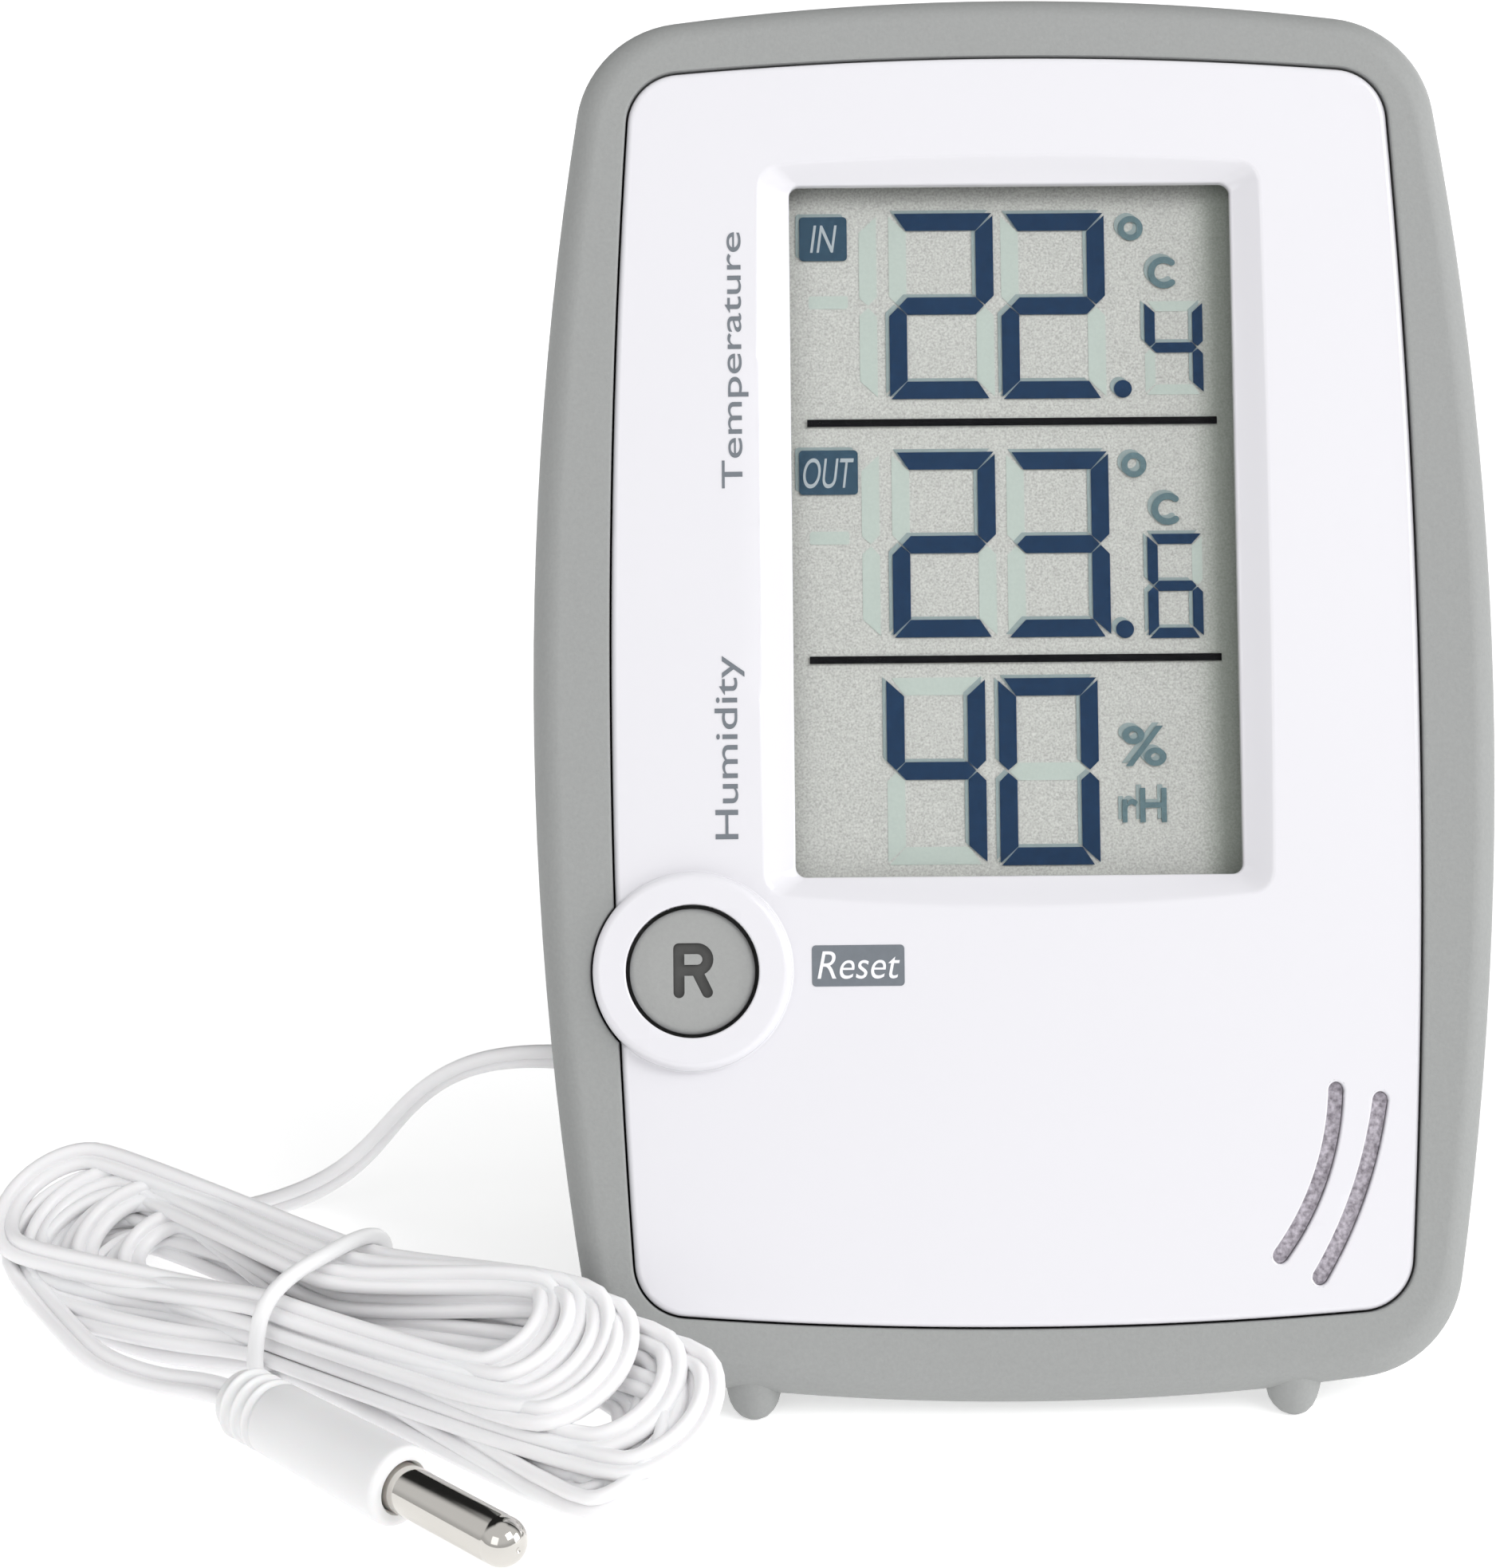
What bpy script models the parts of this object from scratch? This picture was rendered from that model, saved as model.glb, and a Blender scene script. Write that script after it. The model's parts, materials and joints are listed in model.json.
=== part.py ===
"""Indoor and outdoor maximum minimum thermometer with a wired probe.

A barrel-shaped plastic instrument leans back on two front feet and a fold-out
stand. A thin twin cord leaves its left side, is tied in a hank and ends in a
metal-tipped probe. Units are metres, +Z is up and the display faces -Y.
"""
from math import atan2, cos, hypot, pi, radians, sin, sqrt, tan

import bmesh
import bpy
from mathutils import Matrix, Vector

MM = 0.001
GAP = 0.3                      # clearance between neighbouring pieces, mm

# Placing of the instrument, mm and degrees
LEAN = 25.0                    # how far the face leans back from upright
FOOT_Y = 3.5                   # depth of the feet behind the rim's front
FOOT_X = 20.0
FOOT_BOTTOM = -0.8             # below the rim's lowest point, along the face
CENTRE_Y = 29.95               # puts the middle of the depth at the origin

# Grey housing, mm, in the instrument's own frame: x right, z up the face, y to the back
HALF_WIDTH = 36.15
HEIGHT = 106.0
DEPTH = 21.0
SIDE_RADIUS = 281.0
END_RADIUS = 200.0
CORNER_RADIUS = 8.5
WIDEST_Y = 3.0                 # depth at which the outline is largest
SIDE_TAPER = 8.0               # how far the sides draw in at the back
END_TAPER = 10.8               # how far the top and bottom draw in at the back
WALL = 1.8

# White front cover, mm
COVER_HALF_WIDTH = 30.2
COVER_TOP = 100.9
COVER_BOTTOM = 5.6
COVER_FRONT = 0.2
COVER_BACK = 2.0
WINDOW = (-16.55, 16.85, 38.94, 91.4)
BEZEL = (-19.2, 19.2, 36.9, 93.4)
BEZEL_DEPTH = 1.4
BUTTON_X = -24.3
BUTTON_Z = 31.95
BUTTON_RADIUS = 4.65
FLANGE_RADIUS = 5.6            # hidden collar that keeps the key in
BOSS_RADIUS = 7.4
BOSS_FRONT = -0.9
BUTTON_FRONT = -0.75
BUTTON_FLANGE_BACK = 3.1
SLOT_WIDTH = 1.0
SLOTS = (((23.24, 22.81), (22.1, 16.73), (18.85, 10.63)), ((26.52, 22.07), (24.77, 15.24), (21.75, 9.03)))

# Inner parts, mm
HOLDER = (-20.2, 20.2, 34.9, 95.7)
GLASS = (-18.5, 18.5, 36.6, 94.0)
BOARD_FRONT = 8.2
BOARD_BACK = 9.4
CASE_SCREW_SEAT = 17.6
CASE_SCREWS = ((-23.2, 89.5), (23.2, 89.5), (-15.2, 15.0), (15.2, 15.0))
BOARD_SCREWS = ((-23.5, 54.0), (23.5, 54.0), (23.5, 29.0))
BATTERY_Y = 14.3
BATTERY_Z = 66.65
BATTERY_RADIUS = 5.15
BAY = (-25.0, 25.0, 60.3, 73.0)
DOOR = (-26.0, 26.0, 59.3, 74.0)

# Fold-out stand, mm and degrees
STAND_Y = 18.9
STAND_Z = 50.0
STAND_LENGTH = 39.68           # pivot to the middle of the rounded tip
STAND_HALF_WIDTH = 10.8
STAND_THICKNESS = 1.6
STAND_OPEN = 37.4

# Cord, hank and probe, mm, in the world frame
CORD_RADIUS = 0.9
GLAND_Y = 13.0
GLAND_Z = 26.0
HANK_LEFT = Vector((-71.5, -5.5))
HANK_RIGHT = Vector((-30.5, -36.3))
HANK_LEFT_RADIUS = 8.6
HANK_RIGHT_RADIUS = 7.2
HANK_WAIST = 6.2               # half width under the tie
HANK_BOTTOM = 1.5
HANK_TOP = 9.2
TIE_AT = 0.46                  # along the hank, left to right
TIE_RADIUS = 0.6
PROBE_REAR = Vector((-58.0, -29.3, 3.05))
PROBE_YAW = -44.8
PROBE_LENGTH = 18.5
PROBE_TIP_LENGTH = 12.0


# ---------------------------------------------------------------- helpers

def clear_scene():
    for obj in list(bpy.data.objects):
        bpy.data.objects.remove(obj, do_unlink=True)


def material(name, colour, roughness, metallic=0.0):
    mat = bpy.data.materials.new(name)
    mat.use_nodes = True
    shader = mat.node_tree.nodes["Principled BSDF"]
    shader.inputs["Base Color"].default_value = (*colour, 1.0)
    shader.inputs["Roughness"].default_value = roughness
    shader.inputs["Metallic"].default_value = metallic
    return mat


def add_object(name, mesh, mat=None, parent=None):
    obj = bpy.data.objects.new(name, mesh)
    bpy.context.scene.collection.objects.link(obj)
    if mat:
        mesh.materials.append(mat)
    obj.parent = parent
    return obj


def mesh_from(bm, name, smooth=None):
    """Turn a bmesh in millimetres into a mesh in metres with its faces pointing out."""
    bmesh.ops.recalc_face_normals(bm, faces=bm.faces)
    bmesh.ops.scale(bm, vec=(MM, MM, MM), verts=bm.verts)
    mesh = bpy.data.meshes.new(name)
    bm.to_mesh(mesh)
    bm.free()
    if smooth:
        mesh.shade_smooth()
        mesh.set_sharp_from_angle(angle=radians(smooth))
    return mesh


def loft(rings):
    """Close a stack of equal-length rings into one solid."""
    bm = bmesh.new()
    loops = [[bm.verts.new(point) for point in ring] for ring in rings]
    count = len(rings[0])
    for near, far in zip(loops, loops[1:]):
        for i in range(count):
            j = (i + 1) % count
            bm.faces.new((near[i], near[j], far[j], far[i]))
    bm.faces.new(loops[0])
    bm.faces.new(list(reversed(loops[-1])))
    return bm


def outline_at(points, y):
    return [Vector((x, y, z)) for x, z in points]


def circle_points(x, z, radius, count):
    angles = [2 * pi * i / count for i in range(count)]
    return [(x + radius * cos(angle), z + radius * sin(angle)) for angle in angles]


def rounded_rect(bounds, radius, steps=3):
    """Points of a rectangle (x0, x1, z0, z1) with round corners."""
    x0, x1, z0, z1 = bounds
    corners = ((x1 - radius, z1 - radius), (x0 + radius, z1 - radius),
               (x0 + radius, z0 + radius), (x1 - radius, z0 + radius))
    points = []
    for quarter, (cx, cz) in enumerate(corners):
        for step in range(steps + 1):
            angle = pi / 2 * (quarter + step / steps)
            points.append((cx + radius * cos(angle), cz + radius * sin(angle)))
    return points


def barrel_quarter(half_width, half_height, side_radius, end_radius, corner_radius):
    """One quarter of a barrel outline: side arc, corner arc, end arc."""
    side_x = half_width - side_radius
    end_z = half_height - end_radius
    # The corner's centre lies at known distances from both arcs' centres.
    r1 = side_radius - corner_radius
    r2 = end_radius - corner_radius
    span = hypot(side_x, end_z)
    along = (r1 * r1 - r2 * r2 + span * span) / (2 * span)
    across = sqrt(r1 * r1 - along * along)
    ux, uz = -side_x / span, end_z / span
    cx = side_x + ux * along - uz * across
    cz = uz * along + ux * across
    side_end = atan2(cz, cx - side_x)
    end_start = atan2(cz - end_z, cx)
    points = []
    for i in range(5):
        angle = side_end * i / 5
        points.append((side_x + side_radius * cos(angle), side_radius * sin(angle)))
    for i in range(6):
        angle = side_end + (end_start - side_end) * i / 5
        points.append((cx + corner_radius * cos(angle), cz + corner_radius * sin(angle)))
    for i in range(1, 5):
        angle = end_start + (pi / 2 - end_start) * i / 5
        points.append((end_radius * cos(angle), end_z + end_radius * sin(angle)))
    points.append((0.0, half_height))
    return points


def barrel(half_width, half_height, centre_z, side_radius, end_radius, corner_radius):
    """A whole barrel outline, symmetric both ways about (0, centre_z)."""
    quarter = barrel_quarter(half_width, half_height, side_radius, end_radius, corner_radius)
    half = quarter + [(-x, z) for x, z in reversed(quarter[:-1])]
    whole = half + [(x, -z) for x, z in reversed(half[1:-1])]
    return [(x, z + centre_z) for x, z in whole]


def side_inset(y):
    """How far the housing's sides lie inside its widest outline, mm."""
    if y < WIDEST_Y:
        return 1.5 * (1 - y / WIDEST_Y) ** 2.4
    return SIDE_TAPER * ((y - WIDEST_Y) / (DEPTH - WIDEST_Y)) ** 2.2


def end_inset(y):
    """How far the housing's top and bottom lie inside its widest outline, mm."""
    if y < WIDEST_Y:
        return 1.5 * (1 - y / WIDEST_Y) ** 2.4
    return END_TAPER * ((y - WIDEST_Y) / (DEPTH - WIDEST_Y)) ** 1.25


def housing_ring(y, wall=0.0):
    side = side_inset(y) + wall
    end = end_inset(y) + wall
    corner = CORNER_RADIUS - 0.25 * (side + end) / 2 - wall / 2
    outline = barrel(HALF_WIDTH - side, HEIGHT / 2 - end, HEIGHT / 2, SIDE_RADIUS, END_RADIUS, corner)
    return outline_at(outline, y)


def cover_outline(grow=0.0):
    half_height = (COVER_TOP - COVER_BOTTOM) / 2
    centre = (COVER_TOP + COVER_BOTTOM) / 2
    return barrel(COVER_HALF_WIDTH + grow, half_height + grow, centre, 627.0, 320.0, 4.0 + grow)


def box_bm(bounds, y0, y1):
    x0, x1, z0, z1 = bounds
    corners = [(x0, z0), (x1, z0), (x1, z1), (x0, z1)]
    return loft([outline_at(corners, y0), outline_at(corners, y1)])


def post_bm(x, z, radius, y0, y1, count=20):
    points = circle_points(x, z, radius, count)
    return loft([outline_at(points, y0), outline_at(points, y1)])


def turned_bm(profile, count=24):
    """Turn (radius, height) points around +Z; both ends are closed."""
    rings = []
    for radius, height in profile:
        rings.append([Vector((radius * cos(2 * pi * i / count), radius * sin(2 * pi * i / count), height))
                      for i in range(count)])
    return loft(rings)


def turn_and_move(bm, axis, degrees, offset):
    bmesh.ops.rotate(bm, cent=(0, 0, 0), matrix=Matrix.Rotation(radians(degrees), 3, axis), verts=bm.verts)
    bmesh.ops.translate(bm, vec=offset, verts=bm.verts)


def boolean(target, operation, bm, name):
    """Cut or join a millimetre bmesh with target, in target's own frame."""
    cutter = add_object(name, mesh_from(bm, name), parent=target.parent)
    cutter.hide_render = True
    cutter.display_type = "WIRE"
    modifier = target.modifiers.new(name, "BOOLEAN")
    modifier.operation = operation
    modifier.object = cutter
    modifier.solver = "EXACT"


def cut(target, bm, name):
    boolean(target, "DIFFERENCE", bm, f"cut_{name}")


def join(target, bm, name):
    boolean(target, "UNION", bm, f"add_{name}")


def tube(name, points, radius, mat, resolution=2, parent=None):
    """A round tube along points in millimetres, with closed ends."""
    curve = bpy.data.curves.new(name, "CURVE")
    curve.dimensions = "3D"
    curve.bevel_depth = radius * MM
    curve.bevel_resolution = resolution
    curve.use_fill_caps = True
    spline = curve.splines.new("POLY")
    spline.points.add(len(points) - 1)
    for slot, point in zip(spline.points, points):
        slot.co = (*(Vector(point) * MM), 1.0)
    curve.materials.append(mat)
    obj = bpy.data.objects.new(name, curve)
    bpy.context.scene.collection.objects.link(obj)
    obj.parent = parent
    return obj


def smooth_route(points, spacing):
    """Points about spacing apart on a smooth curve through the given points."""
    knots = [Vector(p) for p in points]
    knots = [2 * knots[0] - knots[1]] + knots + [2 * knots[-1] - knots[-2]]
    route = []
    for a, b, c, d in zip(knots, knots[1:], knots[2:], knots[3:]):
        steps = max(1, round((c - b).length / spacing))
        for i in range(steps):
            t = i / steps
            route.append(0.5 * (2 * b + (c - a) * t + (2 * a - 5 * b + 4 * c - d) * t * t
                                + (3 * b - a - 3 * c + d) * t ** 3))
    route.append(knots[-2])
    return route


# ---------------------------------------------------------------- housing

def make_rear_housing(frame, mat):
    """Soft-grip grey shell: rounded rim, tapered back, battery bay and stand recess."""
    depths = (0.0, 0.4, 1.2, 3.0, 6.0, 9.0, 12.0, 15.0, 17.6, 19.6, DEPTH)
    skin = mesh_from(loft([housing_ring(y) for y in depths]), "rear_housing", 35)
    housing = add_object("rear_housing", skin, mat, frame)
    hollow = [housing_ring(y, WALL) for y in (2.3, 6.0, 10.0, 14.0, 17.0, 19.2)]
    cut(housing, loft(hollow), "hollow")
    seat = cover_outline(GAP)
    cut(housing, loft([outline_at(seat, -1.0), outline_at(seat, 2.6)]), "cover_seat")
    cut(housing, post_bm(BUTTON_X, BUTTON_Z, BOSS_RADIUS + GAP, -1.5, 2.6, 32), "boss_seat")
    bay = (BAY[0] - 2.2, BAY[1] + 2.2, BAY[2] - 2.5, BAY[3] + 2.6)
    join(housing, box_bm(bay, 8.2, 19.7), "bay")
    join(housing, box_bm((-14.2, 14.2, 9.7, 55.0), 15.8, 19.0), "stand_pad")
    for i, (x, z) in enumerate(CASE_SCREWS):
        join(housing, post_bm(x, z, 3.4, 12.0, 19.5), f"screw_tube_{i + 1}")
    cut(housing, box_bm(BAY, 9.0, 25.0), "bay")
    lid_seat = (DOOR[0] - 0.35, DOOR[1] + 0.35, DOOR[2] - 0.35, DOOR[3] + 0.35)
    cut(housing, box_bm(lid_seat, 19.5, 25.0), "lid_seat")
    stand_recess = (-STAND_HALF_WIDTH - 0.4, STAND_HALF_WIDTH + 0.4, 5.0, 53.2)
    cut(housing, box_bm(stand_recess, 17.6, 25.0), "stand_recess")
    bearing = turned_bm(((1.8, -13.0), (1.8, 13.0)), 20)
    turn_and_move(bearing, "Y", 90, (0, STAND_Y, STAND_Z))
    cut(housing, bearing, "stand_bearing")
    for i, (x, z) in enumerate(CASE_SCREWS):
        cut(housing, post_bm(x, z, 1.35, 11.0, 25.0, 16), f"screw_hole_{i + 1}")
        cut(housing, post_bm(x, z, 2.6, CASE_SCREW_SEAT - GAP, 25.0), f"screw_head_{i + 1}")
    gland = turned_bm(((2.2, 27.0), (2.2, 40.0)), 20)
    turn_and_move(gland, "Y", -90, (0, GLAND_Y, GLAND_Z))
    cut(housing, gland, "gland_hole")
    return housing


def slot_outline(points):
    """A slot of even width along the arc through three points, with round ends."""
    (x1, z1), (x2, z2), (x3, z3) = points
    d = 2 * (x1 * (z2 - z3) + x2 * (z3 - z1) + x3 * (z1 - z2))
    s1, s2, s3 = x1 * x1 + z1 * z1, x2 * x2 + z2 * z2, x3 * x3 + z3 * z3
    cx = (s1 * (z2 - z3) + s2 * (z3 - z1) + s3 * (z1 - z2)) / d
    cz = (s1 * (x3 - x2) + s2 * (x1 - x3) + s3 * (x2 - x1)) / d
    radius = hypot(x1 - cx, z1 - cz)
    start, end = atan2(z1 - cz, x1 - cx), atan2(z3 - cz, x3 - cx)
    half = SLOT_WIDTH / 2
    steps = 10
    outline = []
    for side, (a, b) in ((half, (start, end)), (-half, (end, start))):
        for i in range(steps + 1):
            angle = a + (b - a) * i / steps
            outline.append((cx + (radius + side) * cos(angle), cz + (radius + side) * sin(angle)))
        tip_x, tip_z = cx + radius * cos(b), cz + radius * sin(b)
        turn = b if side > 0 else b + pi
        sweep = 1 if b < a else -1
        for i in range(1, 4):
            angle = turn - sweep * pi * i / 4
            outline.append((tip_x + half * cos(angle), tip_z + half * sin(angle)))
    return outline


def make_front_cover(frame, mat):
    """Glossy white cover with its window, round button boss, vent slots and posts."""
    edge = ((-0.5, COVER_FRONT), (-0.1, COVER_FRONT + 0.3), (0.0, COVER_FRONT + 0.8), (0.0, COVER_BACK))
    face = mesh_from(loft([outline_at(cover_outline(grow), y) for grow, y in edge]), "front_cover", 35)
    cover = add_object("front_cover", face, mat, frame)
    boss = [outline_at(circle_points(BUTTON_X, BUTTON_Z, radius, 40), y)
            for radius, y in ((BOSS_RADIUS - 0.6, BOSS_FRONT), (BOSS_RADIUS - 0.15, BOSS_FRONT + 0.25),
                              (BOSS_RADIUS, BOSS_FRONT + 0.8), (BOSS_RADIUS, COVER_BACK - 0.1))]
    join(cover, loft(boss), "boss")
    for i, (x, z) in enumerate(CASE_SCREWS):
        join(cover, post_bm(x, z, 2.6, COVER_BACK - 0.5, 11.7), f"case_post_{i + 1}")
    for i, (x, z) in enumerate(BOARD_SCREWS):
        join(cover, post_bm(x, z, 2.0, COVER_BACK - 0.5, BOARD_FRONT - GAP, 16), f"board_post_{i + 1}")
    # The window's sloping surround runs on past the front face, so the cut is clean.
    slope = BEZEL_DEPTH / (BEZEL_DEPTH - COVER_FRONT)
    mouth = [WINDOW[i] + (BEZEL[i] - WINDOW[i]) * slope for i in range(4)]
    opening = rounded_rect(WINDOW, 0.8)
    cut(cover, loft([outline_at(rounded_rect(mouth, 1.6), 0.0), outline_at(opening, BEZEL_DEPTH),
                     outline_at(opening, 3.0)]), "window")
    cut(cover, post_bm(BUTTON_X, BUTTON_Z, BUTTON_RADIUS + 0.28, -2.0, 3.0, 32), "button_hole")
    for i, points in enumerate(SLOTS):
        outline = slot_outline(points)
        cut(cover, loft([outline_at(outline, -1.0), outline_at(outline, 3.0)]), f"slot_{i + 1}")
    for i, (x, z) in enumerate(CASE_SCREWS):
        cut(cover, post_bm(x, z, 1.35, 5.0, 13.0, 16), f"case_pilot_{i + 1}")
    for i, (x, z) in enumerate(BOARD_SCREWS):
        cut(cover, post_bm(x, z, 1.2, 4.0, 10.0, 12), f"board_pilot_{i + 1}")
    return cover


def make_feet(frame, mat):
    """Two egg-ended feet pressed up into the rim's lower edge, level where they stand."""
    slope = tan(radians(LEAN))
    # Each ring is (radius, height at its middle, share of the lean that it is tilted by).
    profile = ((0.95, FOOT_BOTTOM, 1.0), (1.45, -0.35, 0.6), (1.8, 0.05, 0.3), (1.95, 0.6, 0.0))
    for name, x in (("foot_left", -FOOT_X), ("foot_right", FOOT_X)):
        rings = []
        for radius, height, tilt in profile:
            rings.append([Vector((px, py, height + py * slope * tilt))
                          for px, py in circle_points(0, 0, radius, 20)])
        foot = add_object(name, mesh_from(loft(rings), name, 40), mat, frame)
        foot.location = Vector((x, FOOT_Y, 0)) * MM


# ---------------------------------------------------------------- display and electronics

def make_display(frame, mats):
    """Clear window, liquid crystal glass, its holder and the contact strip behind it."""
    window = rounded_rect(GLASS, 0.6, 2)
    add_object("display_window", mesh_from(loft([outline_at(window, 2.3), outline_at(window, 3.1)]),
                                           "display_window"), mats["clear"], frame)
    add_object("lcd_panel", mesh_from(box_bm(GLASS, 3.4, 5.2), "lcd_panel"), mats["lcd"], frame)
    holder = add_object("lcd_holder", mesh_from(box_bm(HOLDER, 2.3, 7.9), "lcd_holder"), mats["white"], frame)
    inside = (GLASS[0] - GAP, GLASS[1] + GAP, GLASS[2] - GAP, GLASS[3] + GAP)
    cut(holder, box_bm(inside, 1.0, 9.0), "holder_opening")
    cut(holder, post_bm(BUTTON_X, BUTTON_Z, FLANGE_RADIUS + GAP, 1.0, 9.0, 32), "flange_relief")
    add_object("contact_strip", mesh_from(box_bm((-17.0, 17.0, 37.2, 39.4), 5.5, 7.9), "contact_strip"),
               mats["rubber"], frame)


def make_circuit_board(frame, mats):
    """Board with its chip cap and crystal; a tab carries the air sensors."""
    board = add_object("circuit_board", mesh_from(box_bm((-29.5, 26.5, 25.0, 57.4), BOARD_FRONT, BOARD_BACK),
                                                  "circuit_board"), mats["board"], frame)
    join(board, box_bm((19.6, 27.4, 14.0, 26.0), BOARD_FRONT, BOARD_BACK), "sensor_tab")
    for i, (x, z) in enumerate(BOARD_SCREWS):
        cut(board, post_bm(x, z, 1.35, 7.0, 11.0, 12), f"board_hole_{i + 1}")
    dome = turned_bm(((5.0, 0.0), (4.4, 0.9), (2.8, 1.5), (0.8, 1.7)), 20)
    turn_and_move(dome, "X", -90, (4.0, BOARD_BACK + GAP, 43.0))
    add_object("chip_cap", mesh_from(dome, "chip_cap", 60), mats["black"], frame)
    can = turned_bm(((0.85, 0.0), (1.0, 0.2), (1.0, 5.8), (0.85, 6.0)), 14)
    turn_and_move(can, "Y", 90, (-16.0, BOARD_BACK + GAP + 1.0, 46.0))
    add_object("clock_crystal", mesh_from(can, "clock_crystal", 40), mats["steel"], frame)


def make_sensors(frame, mats):
    """Humidity sensor, bead thermistor and the felt behind the vent slots."""
    case = mesh_from(box_bm((20.6, 26.4, 15.0, 21.0), 4.9, 7.9), "humidity_sensor")
    sensor = add_object("humidity_sensor", case, mats["white"], frame)
    for i in range(3):
        z = 16.1 + 1.55 * i
        cut(sensor, box_bm((21.4, 25.6, z, z + 0.7), 4.0, 5.9), f"sensor_grille_{i + 1}")
    bead = turned_bm(((0.35, -1.2), (0.9, -0.8), (1.15, 0.0), (0.9, 0.8), (0.45, 1.2), (0.35, 2.6)), 14)
    bmesh.ops.translate(bead, vec=(23.5, 8.8, 11.1), verts=bead.verts)
    add_object("room_thermistor", mesh_from(bead, "room_thermistor", 60), mats["black"], frame)
    felt = mesh_from(box_bm((18.2, 28.3, 7.4, 24.6), 2.3, 3.2), "vent_felt")
    add_object("vent_felt", felt, mats["felt"], frame)


def make_reset_button(frame, mats):
    """Round key cap that pushes the plunger of the small switch on the board."""
    profile = ((BUTTON_RADIUS - 0.4, BUTTON_FRONT), (BUTTON_RADIUS - 0.1, BUTTON_FRONT + 0.15),
               (BUTTON_RADIUS, BUTTON_FRONT + 0.55), (BUTTON_RADIUS, 2.3),
               (FLANGE_RADIUS, 2.3), (FLANGE_RADIUS, BUTTON_FLANGE_BACK),
               (1.5, BUTTON_FLANGE_BACK), (1.5, 4.1))
    cap = turned_bm(profile, 32)
    turn_and_move(cap, "X", -90, (0, 0, 0))
    button = add_object("reset_button", mesh_from(cap, "reset_button", 35), mats["grey_key"], frame)
    button.location = Vector((BUTTON_X, 0, BUTTON_Z)) * MM
    plunger = turned_bm(((1.6, 4.4), (1.6, 6.0)), 16)
    turn_and_move(plunger, "X", -90, (0, 0, 0))
    plunger_mesh = mesh_from(plunger, "switch_plunger", 35)
    plunger_object = add_object("switch_plunger", plunger_mesh, mats["black"], frame)
    plunger_object.location = button.location
    can = box_bm((BUTTON_X - 3, BUTTON_X + 3, BUTTON_Z - 3, BUTTON_Z + 3), 5.4, 7.9)
    body = add_object("switch_body", mesh_from(can, "switch_body"), mats["steel"], frame)
    cut(body, post_bm(BUTTON_X, BUTTON_Z, 1.9, 5.0, 6.8, 16), "plunger_hole")


# ---------------------------------------------------------------- battery, stand and screws

def make_battery(frame, mats):
    """AAA cell between a coil spring and a plate, under a lift-off lid."""
    cell = turned_bm(((3.6, -22.2), (BATTERY_RADIUS, -21.9), (BATTERY_RADIUS, 21.0), (4.3, 21.3),
                      (1.9, 21.3), (1.9, 22.3)), 24)
    turn_and_move(cell, "Y", 90, (1.0, BATTERY_Y, BATTERY_Z))
    add_object("battery", mesh_from(cell, "battery", 35), mats["cell"], frame)
    plate = (BATTERY_Z - 4.2, BATTERY_Z + 4.2)
    add_object("battery_contact_positive", mesh_from(box_bm((23.65, 24.1, *plate), 9.7, 18.6),
                                                     "battery_contact_positive"), mats["steel"], frame)
    add_object("battery_contact_negative", mesh_from(box_bm((-24.7, -24.3, *plate), 9.7, 18.6),
                                                     "battery_contact_negative"), mats["steel"], frame)
    coil = []
    turns, steps = 3, 14
    for i in range(turns * steps + 1):
        t = i / (turns * steps)
        angle = 2 * pi * turns * t
        radius = 3.9 - 1.6 * t
        coil.append((-23.7 + 1.9 * t, BATTERY_Y + radius * cos(angle), BATTERY_Z + radius * sin(angle)))
    tube("battery_spring", coil, 0.25, mats["steel"], 1, frame)
    plate = mesh_from(box_bm(DOOR, 19.8, DEPTH), "battery_door")
    lid = add_object("battery_door", plate, mats["grey_hard"], frame)
    for i in range(4):
        x = -4.5 + 3.0 * i
        cut(lid, box_bm((x - 0.5, x + 0.5, 70.2, 72.8), DEPTH - 0.4, DEPTH + 1), f"lid_grip_{i + 1}")


def make_stand(frame, mat):
    """Leaf stand on its own trunnions, opened against its heel stop."""
    pivot = bpy.data.objects.new("stand_pivot", None)
    bpy.context.scene.collection.objects.link(pivot)
    pivot.parent = frame
    pivot.location = Vector((0, STAND_Y, STAND_Z)) * MM
    pivot.rotation_euler = (radians(STAND_OPEN), 0, 0)
    half = STAND_THICKNESS / 2
    side = []
    for i in range(7):
        angle = pi * i / 6
        side.append((half * cos(angle), -STAND_LENGTH - half * sin(angle)))
    for i in range(7):
        angle = pi * i / 6
        side.append((-half * cos(angle), 0.7 + half * sin(angle)))
    width = STAND_HALF_WIDTH
    leaf = loft([[Vector((x, y, z)) for y, z in side] for x in (-width, width)])
    stand = add_object("stand", mesh_from(leaf, "stand", 35), mat, pivot)
    trunnion = turned_bm(((1.5, -12.7), (1.5, 12.7)), 20)
    turn_and_move(trunnion, "Y", 90, (0, 0, 0))
    join(stand, trunnion, "trunnion")


def make_screws(frame, mat):
    """Four long case screws from the back and three short board screws."""
    for i, (x, z) in enumerate(CASE_SCREWS):
        make_screw(f"case_screw_{i + 1}", frame, mat, (x, z), (6.0, CASE_SCREW_SEAT, 19.0), (1.05, 2.2))
    for i, (x, z) in enumerate(BOARD_SCREWS):
        make_screw(f"board_screw_{i + 1}", frame, mat, (x, z), (5.0, BOARD_BACK + GAP, 10.9), (0.85, 1.9))


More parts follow.
